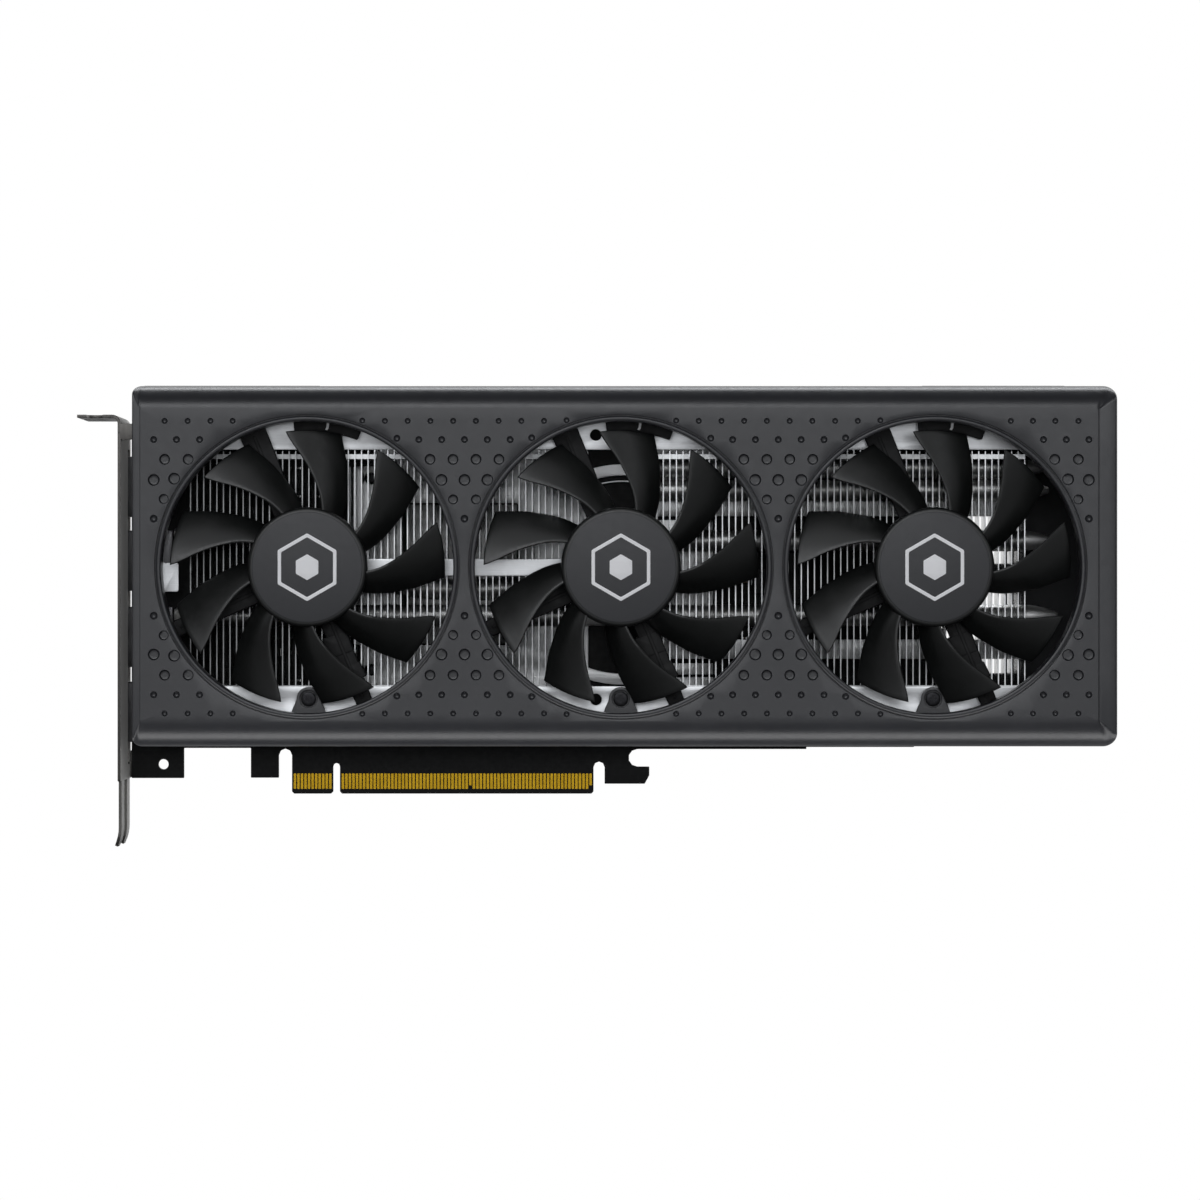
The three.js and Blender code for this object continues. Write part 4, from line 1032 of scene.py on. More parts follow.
def build_stator(fan, x, z):
    """Laminated core, its windings and the bearing bush."""
    core = Part()
    outline = [polar(x, z, radius, k * 360 / TEETH + offset)
               for k in range(TEETH) for offset, radius in TOOTH]
    for i in range(7):
        core.plate([outline, circle(x, z, 4.0)], TO_XZ, -33.4 + 0.5 * i, -32.95 + 0.5 * i, 0.05,
                   steps=1)
    make(f"fan_{fan}_core", core, "steel")
    winding = Part()
    for k in range(TEETH):
        for radius in (6.7, 7.2, 7.7, 8.2, 8.7, 9.2):
            half = 1.55 + (radius - 6.7) * 0.12
            a, b = turned([(radius, half), (radius, -half)], x, z, k * 360 / TEETH)
            turn = [(u, y, v) for (u, v), y in ((a, -33.7), (b, -33.7), (b, -29.8), (a, -29.8))]
            winding.tube(turn + turn[:1], 0.24, 8, domed=False)
    make(f"fan_{fan}_winding", winding, "winding", f"fan_{fan}_stator")
    make(f"fan_{fan}_bush", Part().lathe(BUSH, x, z, 40), "bearing_bronze",
         f"fan_{fan}_bearing", weld=1e-4)


# -------------------------------------------------------------------- heatsink

FIN_PITCH, FIN_THICKNESS = 1.8333, 0.3
FIN_FRONT, FIN_REAR = -24.0, -6.6
FIN_BOTTOM, FIN_TOP = 29.0, 97.0
FIN_CHAMFER = 0.8
PIPE_Y, PIPE_R = -8.3, 3.0
PIPE_CLEARANCE = 0.2
# Knots of each heat pipe: x, z.
PIPE_PATHS = [spline(knots, 14) for knots in (
    [(-79.6, 50.4), (-30, 50.4), (0, 50.4), (30, 50.4), (90, 50.4), (157.0, 50.4)],
    [(-79.6, 72.8), (-60, 72.8), (-44, 71), (-22, 60.2), (-8, 57.9), (8, 57.9), (22, 60),
     (42, 71.4), (60, 71.4), (155.5, 71.4)],
    [(54.5, 85.6), (80, 85.6), (110, 85.6), (154.5, 85.6)],
    [(54.5, 91.9), (80, 91.9), (110, 91.9), (153.5, 91.9)],
)]
# Narrowed right end of a pipe: radius, distance from the last knot.
PIPE_NOSE = [(0, -4), (2.995, -4), (2.99, 1.2), (2.75, 3.0), (2.2, 5.4), (1.6, 7.4), (1.1, 8.7),
             (0.95, 9.2), (0.6, 9.5), (0, 9.5)]

# Outlines of the sheets: x, z.
FRAME_OUTLINE = [
    (-89, 19.5), (158, 19.5), (158, 30.7), (-79.8, 30.7), (-79.8, 45), (-84.2, 45), (-84.2, 57),
    (-79.8, 57), (-79.8, 65.1), (-84.2, 65.1), (-84.2, 83), (-79.8, 83), (-79.8, 96.6),
    (158, 96.6), (158, 108.4), (-89, 108.4)]
BASE_LEFT = [(-29.5, 26), (34.4, 26), (34.4, 97), (-26, 97), (-26, 92.4), (-32, 92.4), (-32, 42),
             (-29.5, 42)]
BASE_WINDOW = rect(-18.2, 42, 14.6, 82)
BASE_RIGHT = [
    (51, 26), (69.6, 26), (69.6, 33), (54, 33), (54, 33.7), (69.6, 33.7), (69.6, 36.9),
    (54, 36.9), (54, 38.1), (157, 38.1), (157, 43.6), (69.6, 43.6), (69.6, 77.3), (54, 77.3),
    (54, 78.3), (157, 78.3), (157, 83.2), (54, 83.2), (54, 84.2), (69.6, 84.2), (69.6, 97),
    (51, 97)]
BRIDGE_CENTER = (43.9, 61.9)


def pipe_heights(x):
    """Z of every pipe that passes x."""
    heights = []
    for path in PIPE_PATHS:
        for a, b in zip(path, path[1:]):
            if a[0] <= x < b[0]:
                heights.append(a[1] + (b[1] - a[1]) * (x - a[0]) / (b[0] - a[0]))
                break
    return sorted(heights)


def fin_outline(x):
    """Fin in (y, z), with half-round notches open to the rear where the pipes pass."""
    notch_r = PIPE_R + PIPE_CLEARANCE
    outline = [(FIN_FRONT, FIN_BOTTOM + FIN_CHAMFER), (FIN_FRONT + FIN_CHAMFER, FIN_BOTTOM),
               (FIN_REAR, FIN_BOTTOM)]
    reached = FIN_BOTTOM
    for z in pipe_heights(x):
        if z - PIPE_R - 0.25 < reached + 0.3:
            continue
        outline += [(FIN_REAR, z - notch_r), *arc(PIPE_Y, z, notch_r, -90, -270, 10),
                    (FIN_REAR, z + notch_r)]
        reached = z + notch_r
    return outline + [(FIN_REAR, FIN_TOP), (FIN_FRONT + FIN_CHAMFER, FIN_TOP),
                      (FIN_FRONT, FIN_TOP - FIN_CHAMFER)]


def build_fins(name, x_first, x_last):
    part = Part()
    count = int((x_last - x_first) / FIN_PITCH + 1e-6) + 1
    for i in range(count):
        x = x_first + i * FIN_PITCH
        part.prism([fin_outline(x)], TO_YZ, x, x + FIN_THICKNESS)
        if i == count - 1:
            break
        # folded flanges that lock each fin to the next
        for z in (29.6, 94.1):
            for height, y0, y1 in ((0.3, -22.6, -8.0), (1.3, -22.8, -22.5)):
                part.prism([rect(x + 0.28, z, x + FIN_PITCH + 0.02, z + height)], TO_XZ, y0, y1)
    make(name, part, "fin_aluminium", name, weld=0, angle=40, recalc=False)


def build_pipe(number, path):
    end_x, end_z = path[-1]
    line = [(x, PIPE_Y, z) for x, z in path if x < 150] + [(end_x - 3, PIPE_Y, end_z)]
    part = Part().tube(line, PIPE_R, 28)
    nose = Part().lathe(PIPE_NOSE, 0, 0, 28, closed=False)
    part.take(nose, Matrix(((0, 1, 0, end_x), (1, 0, 0, PIPE_Y), (0, 0, 1, end_z), (0, 0, 0, 1))))
    make(f"pipe_{number}", part, "pipe_nickel", f"heat_pipe_{number}", weld=1e-4, angle=50)


def build_frame_plate():
    holes = [circle(36.5, z, 1.6) for z in (100.7, 27.0)]
    holes += [circle(x, z - EAR_DROP, 1.45, 24) for x, z in FAN_CENTERS.values()]
    part = Part().plate([soften(FRAME_OUTLINE, 0.6)] + holes, TO_XZ, -25.2, -24.2, 0.12)
    make("frame_plate", part, "sheet_aluminium", "heatsink_frame", angle=34)
    part = Part().plate([soften(rect(-40, 61.4, 40, 66.2), 0.5)], TO_XZ, -24.8, -24.1, 0.12)
    make("center_bar", part, "sheet_aluminium", "heatsink_center_bar", angle=34)


def build_base_plate():
    holes = [soften(BASE_WINDOW, 0.6)] + [circle(x, z, 1.7, 24) for x, z in SPRING_SPOTS]
    part = Part().plate([soften(BASE_LEFT, 0.8)] + holes, TO_XZ, -5.1, -3.1, 0.15)
    part.plate([soften(BASE_RIGHT, 0.25)], TO_XZ, -5.1, -3.1, 0.15)
    # curved bridges between the halves, and a bead beside the upper one
    for outer, inner in (((74.8, 109.6), (111.6, 73.0)), ((-109.6, -74.8), (-73.0, -111.6))):
        bridge = arc(*BRIDGE_CENTER, 31.1, *outer, 16) + arc(*BRIDGE_CENTER, 27.9, *inner, 16)
        part.plate([bridge], TO_XZ, -5.08, -3.12, 0.15)
    bead = arc(*BRIDGE_CENTER, 26.5, 73, 111, 16) + arc(*BRIDGE_CENTER, 26.1, 111, 73, 16)
    part.plate([bead], TO_XZ, -5.0, -3.2, 0.1, steps=1)
    # the base plate takes the brighter aluminium, painted light for its place deep between the fins
    make("base_plate", part, "sheet_aluminium", "heatsink_base", material="contact", angle=34)
    make("contact_plate", Part().box(-16.9, 14.3, -5.1, -2.85, 42.3, 81.7, 0.25),
         "pipe_nickel", "cold_plate", weld=1e-4)


def build_heatsink():
    build_fins("fin_stack_left", -76.7, 33.3)
    build_fins("fin_stack_right", 51.5, 156.5)
    for i, path in enumerate(PIPE_PATHS):
        build_pipe(i + 1, path)
    build_frame_plate()
    build_base_plate()


# ------------------------------------------------------------------------ board

# Edge contacts: side, y from, y to.
CONTACT_SIDES = [("front", PCB_FRONT - 0.05, PCB_FRONT + 0.01),
                 ("back", PCB_BACK - 0.01, PCB_BACK + 0.05)]
CONTACT_ROWS = [("long", -35.35, 71), ("short", -48.9, 11)]     # name, first x, count
CONTACT_PITCH, CONTACT_WIDTH = 1, 0.7
CONTACT_BOTTOM, CONTACT_TOP = 1.35, 5.7
SHORT_BOTTOM = 2.35
SHORT_CONTACTS = {("back", "short", 0), ("front", "long", 70), ("back", "long", 19),
                  ("front", "long", 36)}

MEMORY_X = 27
MEMORY_SPOTS = [(x, z) for x in (-MEMORY_X, MEMORY_X) for z in (52.5, 71.5)]
CHOKE_SPOTS = ([(-56, z) for z in (40, 50, 60, 70, 80)] + [(84, z) for z in (34, 48, 60, 70)])
POWER_STAGE_SPOTS = [(-66, z) for z in (40, 50, 60, 70, 80)]
CAPACITOR_SPOTS = ([(-74, z) for z in (35, 45, 55, 65, 75, 85)]
                   + [(90, 87.3), (82, 87.3), (82, 94), (90, 94)])
CAPACITOR_CAN = [(0, -5.2), (2.6, -5.2), (2.9, -5.0), (2.95, -4.6), (2.95, -2.3), (2.75, -2.0),
                 (2.95, -1.7), (2.95, -1.2), (0, -1.2)]         # radius, y
PASSIVE_COLUMNS = (-46.5, -41.0, 62.0, 65.0, 68.0, 78.5)


def build_edge_contacts():
    """Gold pads; the laminate itself is the CAD node."""
    for side, y0, y1 in CONTACT_SIDES:
        for row, first_x, count in CONTACT_ROWS:
            part = Part()
            for k in range(count):
                x = first_x + k * CONTACT_PITCH
                low = SHORT_BOTTOM if (side, row, k) in SHORT_CONTACTS else CONTACT_BOTTOM
                pad = round_rect(x, low, x + CONTACT_WIDTH, CONTACT_TOP, 0.12, 2)
                part.prism([pad], TO_XZ, y0, y1)
            make(f"pads_{side}_{row}", part, "gold_contacts", f"edge_contacts_{side}_{row}",
                 weld=0, angle=30)


def build_chips():
    """Processor package and die, memory and its thermal pads."""
    make("package", Part().box(-17.5, 17.5, -2.0, PARTS_BACK, 44.5, 79.5, 0.12),
         "substrate", "gpu_substrate", weld=1e-4)
    make("die", Part().box(-8, 8, -2.8, -2.0, 54.5, 69.5, 0.06), "silicon", "gpu_die", weld=1e-4)
    dot = [(0, -2.02), (0.45, -2.02), (0.5, -2.0), (0.5, -1.9)]
    for i, (x, z) in enumerate(MEMORY_SPOTS):
        part = Part().block(x, z, 6, 7, -2.0, PARTS_BACK, 0.12)
        part.lathe(dot, x - 4.9, z + 5.9, 16, closed=False)
        make(f"memory_{i + 1}", part, "chip_black", f"memory_chip_{i + 1}", weld=1e-4)
    for side, x in (("left", -MEMORY_X), ("right", MEMORY_X)):
        make(f"pad_{side}", Part().block(x, 62, 6, 16.5, -3.05, -2.05, 0.3, steps=3),
             "thermal_pad", f"thermal_pad_{side}", weld=1e-4)


def add_passive(bodies, ends, x, z, half, front):
    """Two-terminal chip with tinned ends."""
    bodies.block(x, z, half, half * 0.55, front, PCB_FRONT, 0.06, steps=1)
    for end_x in (x - half, x + half):
        ends.block(end_x, z, 0.18, half * 0.58, front - 0.03, PCB_FRONT, 0.05, steps=1)


def build_small_parts():
    """Chokes, capacitors, power stages and small passives on the board."""
    chokes, cans, stages, passives, tin = Part(), Part(), Part(), Part(), Part()
    for x, z in CHOKE_SPOTS:
        chokes.block(x, z, 3.4, 3.4, -4.4, PCB_FRONT, 0.35, steps=3)
        tin.block(x, z, 3.7, 1.1, -1.5, PCB_FRONT, 0.15, steps=1)
    for x, z in POWER_STAGE_SPOTS:
        stages.block(x, z, 2.5, 3, -1.7, PCB_FRONT, 0.12)
    for x, z in CAPACITOR_SPOTS:
        cans.lathe(CAPACITOR_CAN, x, z, 36, closed=False)
        stages.block(x, z, 3.3, 3.3, -1.3, PCB_FRONT, 0.2)
    places = [(x, z) for x in PASSIVE_COLUMNS for z in range(20, 100, 4)]
    for k, (x, z) in enumerate(places, start=1):
        # a fixed pattern leaves some places empty and makes every third part larger
        if (k * 7) % 5 >= 2:
            add_passive(passives, tin, x, z, 0.5 if k % 3 else 0.8, -1.55)
    # two on the bare strip by the bracket
    for x in (-70, -66):
        add_passive(passives, tin, x, 19.5, 0.8, -1.45)
    make("chokes", chokes, "chip_black", material="choke")
    make("capacitor_cans", cans, "chip_black")
    make("power_stages", stages, "chip_black")
    make("passives", passives, "chip_black", material="passive")
    make("solder_ends", tin, "steel", material="tin")
    rear = Part()
    for i in range(9):
        for j in range(9):
            if (i * 3 + j * 5) % 7 >= 2:
                rear.block(-12 + i * 3.0, 50 + j * 3.0, 0.5, 0.3, PCB_BACK, PCB_BACK + 0.55,
                           0.06, steps=1)
    make("rear_passives", rear, "chip_black", material="passive")


# ----------------------------------------------------------------------- screws


def add_screw(part, x, z, top, facing, radius, height, shank_r, shank):
    """Cross-recessed screw; its head's outer face is at y = top and looks along facing * Y."""
    arm, half = radius * 0.52, radius * 0.13
    recess = [(x + u * sx, z + v * sz) for u, v, sx, sz in (
        (half, half, 1, 1), (half, arm, 1, 1), (half, arm, -1, 1), (half, half, -1, 1),
        (arm, half, -1, 1), (arm, half, -1, -1), (half, half, -1, -1), (half, arm, -1, -1),
        (half, arm, 1, -1), (half, half, 1, -1), (arm, half, 1, -1), (arm, half, 1, 1))]
    floor_y = top - facing * height * 0.55
    for loops, y in (([circle(x, z, radius * 0.82, 36), recess], top), ([recess], floor_y)):
        points, faces = fill(loops)
        part.add([(u, y, v) for u, v in points], faces, smooth=False)
    part.band([(u, top, v) for u, v in recess], [(u, floor_y, v) for u, v in recess],
              smooth=False)
    # radius, distance below the head's outer face
    profile = [(radius * 0.82, 0), (radius * 0.93, height * 0.12), (radius, height * 0.4),
               (radius, height), (shank_r, height), (shank_r, height + shank - 0.3),
               (shank_r - 0.3, height + shank), (0, height + shank)]
    part.lathe([(r, top - facing * down) for r, down in profile], x, z, 36, closed=False)


def build_screws():
    for i, spot in enumerate((0, 2, 3, 1)):
        x, z = SPRING_SPOTS[spot]
        part = Part()
        add_screw(part, x, z, top=PCB_BACK + 1.9, facing=1, radius=3.4, height=1.8,
                  shank_r=1.4, shank=6.4)
        # spring wound twice round the shank
        coil = []
        for q in range(25):
            u, v = polar(x, z, 2.2, 30 * q)
            coil.append((u, PCB_BACK + 0.22 + 0.00288 * q, v))
        part.tube(coil, 0.12, 8)
        make(f"sprung_screw_{i + 1}", part, "screw_black", f"spring_screw_{i + 1}", angle=30)
    for fan, (x, z) in FAN_CENTERS.items():
        part = Part()
        add_screw(part, x, z - EAR_DROP, top=-28.2, facing=-1, radius=2.05, height=0.7,
                  shank_r=1.15, shank=4.9)
        make(f"cover_screw_{fan}", part, "screw_black", f"shroud_screw_{fan}", angle=30)
        # the fan's screws go in from behind, into the posts
        part = Part()
        for angle in STRUT_ANGLES:
            add_screw(part, *polar(x, z, POST_RING_R, angle), top=-24.9, facing=1, radius=2.3,
                      height=0.7, shank_r=1.1, shank=4.0)
        make(f"fan_{fan}_screws", part, "screw_black", angle=30)


# ------------------------------------------------------------- bracket, sockets

BRACKET_X0, BRACKET_X1 = -96.06, -95.2
BRACKET_FRONT, BRACKET_BACK = -35.5, 3.2
BRACKET_SHEET = BRACKET_X1 - BRACKET_X0
NOTCH_X, NOTCH_R = BRACKET_X0 - 6.35, 2.21      # round notches in the top tab
TAB_LEFT, TAB_RIGHT = -107.29, -97.9
SOCKET_Z = (86.6, 65.8, 44.3, 23.2)
# Openings of the sockets: y, z from the socket's middle.
DISPLAY_OPENING = [(-6.5, -7.9), (-1.9, -7.9), (-1.9, 7.9), (-4.6, 7.9), (-6.5, 6.2)]
HDMI_OPENING = [(-6.2, -7.1), (-3.4, -7.1), (-1.8, -5.6), (-1.8, 5.6), (-3.4, 7.1), (-6.2, 7.1)]


def build_bracket():
    middle_x = (BRACKET_X0 + BRACKET_X1) / 2
    outline = soften(rect(BRACKET_FRONT, 4.4, BRACKET_BACK, 101.3), 0.6,
                     only=lambda p: p[1] < 50)
    window = round_rect(-7.9, 8.5, -0.45, 97.1, 0.8, 5)
    part = Part().plate([outline, window], TO_YZ, BRACKET_X0, BRACKET_X1, 0.13)
    # bend over the top
    bend = [(middle_x, 101.1), (middle_x, 103.2), *arc(middle_x - 2.0, 103.67, 2.0, 0, 90, 9),
            (middle_x - 2.4, 105.67)]
    width = BRACKET_BACK - BRACKET_FRONT
    part.strip(bend, (BRACKET_FRONT + BRACKET_BACK) / 2, [width] * len(bend), BRACKET_SHEET)
    # notched tab
    tab = [(TAB_LEFT, BRACKET_BACK), (TAB_LEFT, -12.39), *arc(NOTCH_X, -14.6, NOTCH_R, 90, -90, 15),
           (TAB_LEFT, -16.81), (TAB_LEFT, BRACKET_FRONT), (NOTCH_X - NOTCH_R, BRACKET_FRONT),
           *arc(NOTCH_X, -33.2, NOTCH_R, 180, 0, 15), (NOTCH_X + NOTCH_R, BRACKET_FRONT),
           (TAB_RIGHT, BRACKET_FRONT), (TAB_RIGHT, BRACKET_BACK)]
    part.plate([tab[::-1]], TO_XY, 105.24, 106.1, 0.12)
    # tongues below, bent towards -X and rounded at the tip
    for y in (-6.0, -26.32):
        path, widths = [], []
        for i in range(15):
            s = i / 14
            z = 4.9 - s * 18.6
            bent = max(0.0, (-8.5 - z) / 5.4)
            path.append((middle_x - 1.25 * bent ** 2, z))
            tip = max(0.0, (s - 0.86) / 0.14)
            widths.append(10.19 - 2.6 * (1 - sqrt(max(0, 1 - tip * tip))))
        part.strip(path, y, widths, 0.84)
    # foot behind the board, with its hole, and the ear under the cover
    foot = soften(rect(-95.6, 4.6, -81.2, 12.2), 1.5, 4, only=lambda p: p[0] > -90)
    part.plate([foot, circle(-85.7, 8.3, 1.45, 28)], TO_XZ, PCB_BACK + 0.1, PCB_BACK + 0.96, 0.12)
    ear = soften(rect(-95.6, 99.2, -86.4, 103.6), 1.2, 4, only=lambda p: p[0] > -90)
    part.plate([ear], TO_XZ, -35.48, -34.64, 0.12)
    return make("bracket", part, "bracket_metal", "io_bracket")


def build_socket(name, node, z, front, opening):
    """Shell, tongue and pins of one socket."""
    outer = soften(rect(front, z - 8.5, PARTS_BACK, z + 8.5), 0.5)
    inner = soften([(y, z + v) for y, v in opening], 0.4)
    shell = Part().plate([outer, inner], TO_YZ, -97.0, -86.6, 0.12)
    shell.box(-86.7, -82.6, front, PARTS_BACK, z - 8.5, z + 8.5, 0.3)
    # spring fingers on the front of the shell
    for side in (-1, 1):
        shell.block(-91.1, z + side * 4.2, 2.5, 0.9, front - 0.14, front + 0.1, 0.1)
    make(name, shell, "socket_shell", node)
    tongue = Part().box(-95.8, -86.4, -4.75, -3.55, z - 5.8, z + 5.8, 0.15)
    tongue.box(-87.4, -86.45, opening[0][0] + 0.05, -1.95, z - 7.0, z + 7.0, 0.1, steps=1)
    make(name + "_tongue", tongue, "socket_plastic")
    pins = Part()
    for k in range(10):
        pin_z = z - 5.0 + k * 1.1
        pins.box(-95.4, -87.4, -4.82, -4.70, pin_z - 0.2, pin_z + 0.2, 0.04, steps=1)
        pins.box(-95.4, -87.4, -3.60, -3.48, pin_z + 0.35, pin_z + 0.75, 0.04, steps=1)
    make(name + "_pins", pins, "gold_contacts")


def build_sockets():
    for i, z in enumerate(SOCKET_Z[:3], start=1):
        build_socket(f"display_shell_{i}", f"display_port_{i}", z, -7.5, DISPLAY_OPENING)
    build_socket("hdmi_shell", "hdmi_port", SOCKET_Z[3], -7.0, HDMI_OPENING)


def build_power():
    """Eight-way power socket on the top edge; its cells alternate in shape."""
    x0, x1, front = 70, 90.6, -13.6
    half = 1.75
    chamfered = [(-half, -1.0), (-1.0, -half), (1.0, -half), (half, -1.0), (half, half),
                 (-half, half)]
    cells, pins = [], Part()
    for i in range(4):
        for j in range(2):
            x, y = 80.3 + (i - 1.5) * 4.3, -7.24 + (j - 0.5) * 4.7
            if (i + j) % 2:
                cells.append(round_rect(x - half, y - half, x + half, y + half, 0.25, 2))
            else:
                cells.append(soften([(x + u, y + v) for u, v in chamfered], 0.2, 2))
            pins.box(x - 0.55, x + 0.55, y - 0.55, y + 0.55, 101.0, 109.5, 0.2)
    part = Part().plate([soften(rect(x0, front, x1, PARTS_BACK), 0.5)] + cells, TO_XY,
                        101.4, 112.6, 0.15)
    part.box(x0 + 0.02, x1 - 0.02, front + 0.02, PARTS_BACK - 0.02, 97.6, 101.8, 0.3)
    # short bar and two ribs on the front
    part.box(78.3, 82.3, front - 1.6, front + 0.3, 105.6, 108.0, 0.4)
    for x in (77.0, 83.0):
        part.box(x, x + 0.6, front - 0.8, front + 0.2, 99, 112.2, 0.15, steps=1)
    make("power_socket", part, "socket_plastic", "power_connector")
    make("power_pins", pins, "gold_contacts")


# -------------------------------------------------------------------- backplate

BACKPLATE_OUTLINE = [(-91.8, 13.1), (126.4, 13.1), (127.0, 13.6),
                     *arc(175.5, 18.6, 5, 270, 360, 10), *arc(175.5, 108.7, 5, 0, 90, 10),
                     (-91.8, 113.7)]
REAR_SCREW_SPOTS = [(-86, 106), (-86, 22), (50, 107), (50, 20), (120, 107), (120, 20),
                    (172, 105), (172, 24)]


def build_backplate():
    loops = [soften(BACKPLATE_OUTLINE, 1.2, only=lambda p: p[0] < 0)]
    loops += [round_rect(134, z0, 152.5, z1, 1.6, 5) for z0, z1 in ((34, 57), (65, 87))]
    loops += [circle(x, z, 4.6, 48) for x, z in SPRING_SPOTS]
    part = Part().plate(loops, TO_XZ, 2.3, 3.5, 0.25, steps=3)
    # flanges along the top and at the right end
    for x0, x1 in ((-91.8, 66), (95, 175)):
        part.box(x0 + 0.05, x1, -1.2, 2.9, 112.52, 113.65, 0.25)
    part.box(179.35, 180.45, -1.2, 2.9, 20, 107, 0.25)
    # pressed stiffening lines
    for z in (104.5, 22.5):
        part.plate([round_rect(-80, z - 0.9, 168, z + 0.9, 0.9, 6)], TO_XZ, 3.2, 3.75, 0.25)
    for x in (-62, -48, 60, 74, 88, 102):
        part.plate([round_rect(x - 0.8, 34, x + 0.8, 92, 0.8, 6)], TO_XZ, 3.2, 3.72, 0.22)
    make("rear_plate", part, "backplate_metal", "backplate")
    part = Part()
    for x, z in REAR_SCREW_SPOTS:
        add_screw(part, x, z, top=4.0, facing=1, radius=2.6, height=0.75, shank_r=1.2, shank=2.6)
    make("rear_screws", part, "screw_black", angle=30)


# ------------------------------------------------------------ build all the pieces

cover = build_cover()
impellers = []
for fan, (x, z) in FAN_CENTERS.items():
    impellers.append(build_impeller(fan, x, z))
    build_rotor_core(fan, x, z)
    build_carrier(fan, x, z)
    build_stator(fan, x, z)
build_heatsink()
build_edge_contacts()
build_chips()
build_small_parts()
build_screws()
bracket = build_bracket()
build_sockets()
build_power()
build_backplate()


def finish_cad_nodes():
    """Materials on the CAD nodes, and softened edges on the board kept from them."""
    for subpart in frame["record"]["subparts"]:
        materials = frame["nodes"][subpart["node"]].data.materials
        materials.clear()
        materials.append(MATERIALS[subpart["material_slot"]])
    board = frame["nodes"]["pcb"]
    weld = board.modifiers.new("weld", "WELD")
    weld.merge_threshold = 1e-6
    bevel = board.modifiers.new("bevel", "BEVEL")
    bevel.width, bevel.segments = 0.00012, 1
    bevel.limit_method, bevel.angle_limit = "ANGLE", radians(40)


finish_cad_nodes()

# ------------------------------------------------------ floor, light and camera

FLOOR_Z = -14.2
FLOOR_FRONT, SWEEP_START, SWEEP_R, FLOOR_RISE = -3200, 900, 700, 3600
FLOOR_HALF_WIDTH = 4200


def floor_paper():
    """Paper lit evenly to white as the camera sees it."""
    s = Shader("floor_paper")
    s.surface(color=s.mottle(s.noise(3), (0.28, 0.28, 0.28), (0.32, 0.32, 0.32)),
              roughness=0.9,
              normal=s.bump(s.noise(900, detail=2), strength=0.05, distance=0.0002))
    path = s.node("ShaderNodeLightPath")
    glow = s.node("ShaderNodeEmission", Strength=1.0)
    paper = s.node("ShaderNodeMixShader")
    y = s.split(s.position)["Y"]
    far_glow = s.remap(y, 0.0, 0.8, start=0.5, end=1.3)
    feed(s.tree, paper.inputs[0], s.math("MAXIMUM", path.outputs["Is Camera Ray"], far_glow))
    bsdf = s.tree.nodes["Principled BSDF"]
    feed(s.tree, paper.inputs[1], bsdf.outputs[0])
    feed(s.tree, paper.inputs[2], glow.outputs[0])
    # the raised part of the sweep is only seen from the object's side
    geometry = s.node("ShaderNodeNewGeometry")
    incoming_y = s.split(geometry.outputs["Incoming"])["Y"]
    behind = s.math("MULTIPLY", s.math("GREATER_THAN", incoming_y, 0.0),
                    s.math("GREATER_THAN", y, 0.95))
    clear = s.node("ShaderNodeBsdfTransparent")
    sheet = s.node("ShaderNodeMixShader")
    for index, value in enumerate((behind, paper.outputs[0], clear.outputs[0])):
        feed(s.tree, sheet.inputs[index], value)
    feed(s.tree, s.tree.nodes["Material Output"].inputs["Surface"], sheet.outputs[0])
    return s.material


def build_floor():
    """Pale floor that sweeps up behind the object with no edge."""
    profile = [(FLOOR_FRONT, FLOOR_Z), (SWEEP_START, FLOOR_Z),
               *arc(SWEEP_START, FLOOR_Z + SWEEP_R, SWEEP_R, -84, 0, 14),
               (SWEEP_START + SWEEP_R, FLOOR_RISE)]
    left, right = ([(x, y, z) for y, z in profile] for x in (-FLOOR_HALF_WIDTH, FLOOR_HALF_WIDTH))
    mesh = Part().band(left, right, closed=False).mesh("floor", weld=1e-4, angle=60)
    mesh.materials.append(floor_paper())
    floor = bpy.data.objects.new("floor", mesh)
    SCENE.collection.objects.link(floor)


def panel(name, place, target, width, height, radiance, color=(1, 1, 1)):
    """Rectangular light aimed at target, unseen by the camera."""
    data = bpy.data.lights.new(name, "AREA")
    data.energy = pi * width * height * radiance
    data.shape, data.size, data.size_y, data.color = "RECTANGLE", width, height, color
    light = bpy.data.objects.new(name, data)
    light.location = place
    aim = Vector(target) - Vector(place)
    light.rotation_euler = aim.to_track_quat("-Z", "Y").to_euler()
    light.visible_camera = False
    SCENE.collection.objects.link(light)
    return light


SOFTBOX_TARGET = (0.045, -0.02, 0.06)
SOFTBOX_COLOR = (0.955, 0.972, 1.0)


def softbox(name, azimuth, elevation, distance, width, height, radiance):
    """Panel at an azimuth (0 = camera side, 90 = right) and elevation seen from the card."""
    x, y, z = SOFTBOX_TARGET
    level = distance * cos(radians(elevation))
    place = (x + level * sin(radians(azimuth)), y - level * cos(radians(azimuth)),
             z + distance * sin(radians(elevation)))
    return panel(name, place, SOFTBOX_TARGET, width, height, radiance, SOFTBOX_COLOR)


def light_group(name, objects):
    group = bpy.data.collections.new(name)
    for member in objects:
        group.objects.link(member)
    return group


# Softboxes: name, azimuth, elevation, distance, width, height, radiance (degrees and metres).
ROOM_LIGHTS = [
    ("front_panel", 0, 5.5, 2.0, 1.9, 0.42, 2.55),
    ("key", -12, 25, 1.9, 1.5, 0.50, 4.7),
    ("back_strip", 0, 118, 1.5, 1.9, 0.36, 7.5),
    ("back_panel", 180, 40, 2.0, 2.2, 0.8, 0.8),
    ("left_side", -90, 22, 1.9, 1.3, 0.6, 1.0),
    ("right_side", 90, 22, 1.9, 1.3, 0.6, 1.0),
]


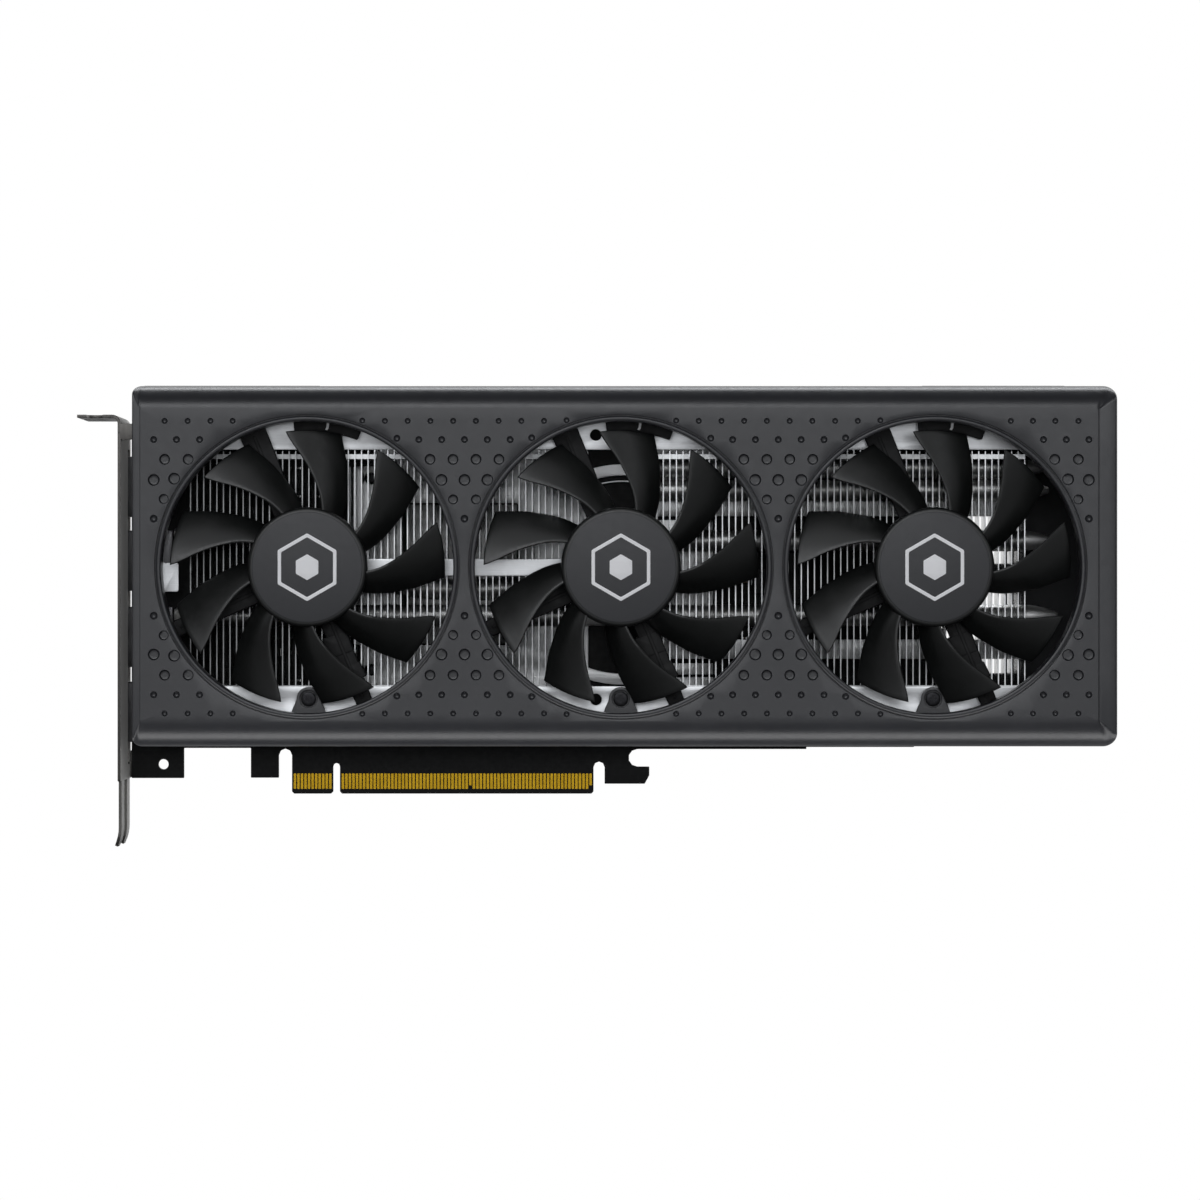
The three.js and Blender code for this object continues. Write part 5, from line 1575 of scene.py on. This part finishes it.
def build_lights():
    meshes = [o for o in SCENE.objects if o.type == "MESH"]
    only_cover = light_group("lit_by_bounce", [cover])
    rotors = light_group("lit_by_upper", impellers)
    rear = light_group("lit_by_rear_light", [o for o in meshes if o.name.startswith("rear_")])
    bracket_face = light_group(
        "lit_by_bracket_face_light",
        [o for o in meshes if o is bracket or "socket" in o.name or "port" in o.name])
    only_bracket = light_group("lit_by_bracket_light", [bracket])
    for row in ROOM_LIGHTS:
        softbox(*row)
    # low strip under the cover
    bounce = panel("bounce", place=(0.045, -0.0465, -0.0125), target=(0.045, -0.0455, 0.03),
                   width=0.34, height=0.018, radiance=3.4)
    bounce.light_linking.receiver_collection = only_cover
    # columns as in ROOM_LIGHTS, after the only group each one lights
    for receivers, *row in (
            (rotors, "upper", -8, 56, 1.7, 1.7, 0.7, 0.8),
            (rotors, "upper_right", 48, 18, 1.9, 0.7, 0.8, 1.1),
            (rear, "rear_light", 165, 30, 2.0, 1.8, 0.9, 6.0),
            (bracket_face, "bracket_face_light", -58, 14, 1.9, 1.5, 0.9, 2.2),
            (only_cover, "far_right", 66, 24, 2.0, 1.2, 0.7, 1.2),
            (only_bracket, "bracket_light", 58, 10, 1.9, 0.9, 0.9, 3.0)):
        light = softbox(*row)
        light.light_linking.receiver_collection = receivers
    # nothing but the bracket itself shades the last one
    light.light_linking.blocker_collection = only_bracket


def build_world():
    """Dim grey gradient for the light, plain white for the camera."""
    world = bpy.data.worlds.new("studio")
    world.use_nodes = True
    SCENE.world = world
    tree = world.node_tree
    generated = add_node(tree, "ShaderNodeTexCoord").outputs["Generated"]
    mapping = add_node(tree, "ShaderNodeMapping", Vector=generated, Location=(0.5, 0, 0),
                       Rotation=(0, radians(90), 0), Scale=(0.5, 0.5, 0.5))
    gradient = add_node(tree, "ShaderNodeTexGradient", Vector=mapping.outputs["Vector"])
    ramp = add_node(tree, "ShaderNodeValToRGB", Fac=gradient.outputs["Fac"])
    ramp.color_ramp.elements[0].color = (0.06, 0.06, 0.06, 1)
    ramp.color_ramp.elements[1].color = (0.09, 0.09, 0.092, 1)
    seen = add_node(tree, "ShaderNodeMix")
    seen.data_type = "RGBA"
    path = add_node(tree, "ShaderNodeLightPath")
    feed(tree, seen.inputs[0], path.outputs["Is Camera Ray"])
    feed(tree, seen.inputs[6], ramp.outputs["Color"])
    feed(tree, seen.inputs[7], (1, 1, 1))
    background = tree.nodes["Background"]
    feed(tree, background.inputs["Color"], seen.outputs[2])
    background.inputs["Strength"].default_value = 1.0


def build_camera():
    data = bpy.data.cameras.new("camera")
    data.lens, data.sensor_width, data.sensor_fit = 191.0, 36.0, "HORIZONTAL"
    data.clip_end = 50
    camera = bpy.data.objects.new("camera", data)
    camera.location = (0.03766, -1.800, 0.05472)
    camera.rotation_euler = (pi / 2, 0, 0)
    SCENE.collection.objects.link(camera)
    SCENE.camera = camera
    SCENE.view_settings.view_transform = "Standard"
    SCENE.view_settings.look = "None"
    SCENE.view_settings.exposure = 0.0


build_floor()
build_lights()
build_world()
build_camera()
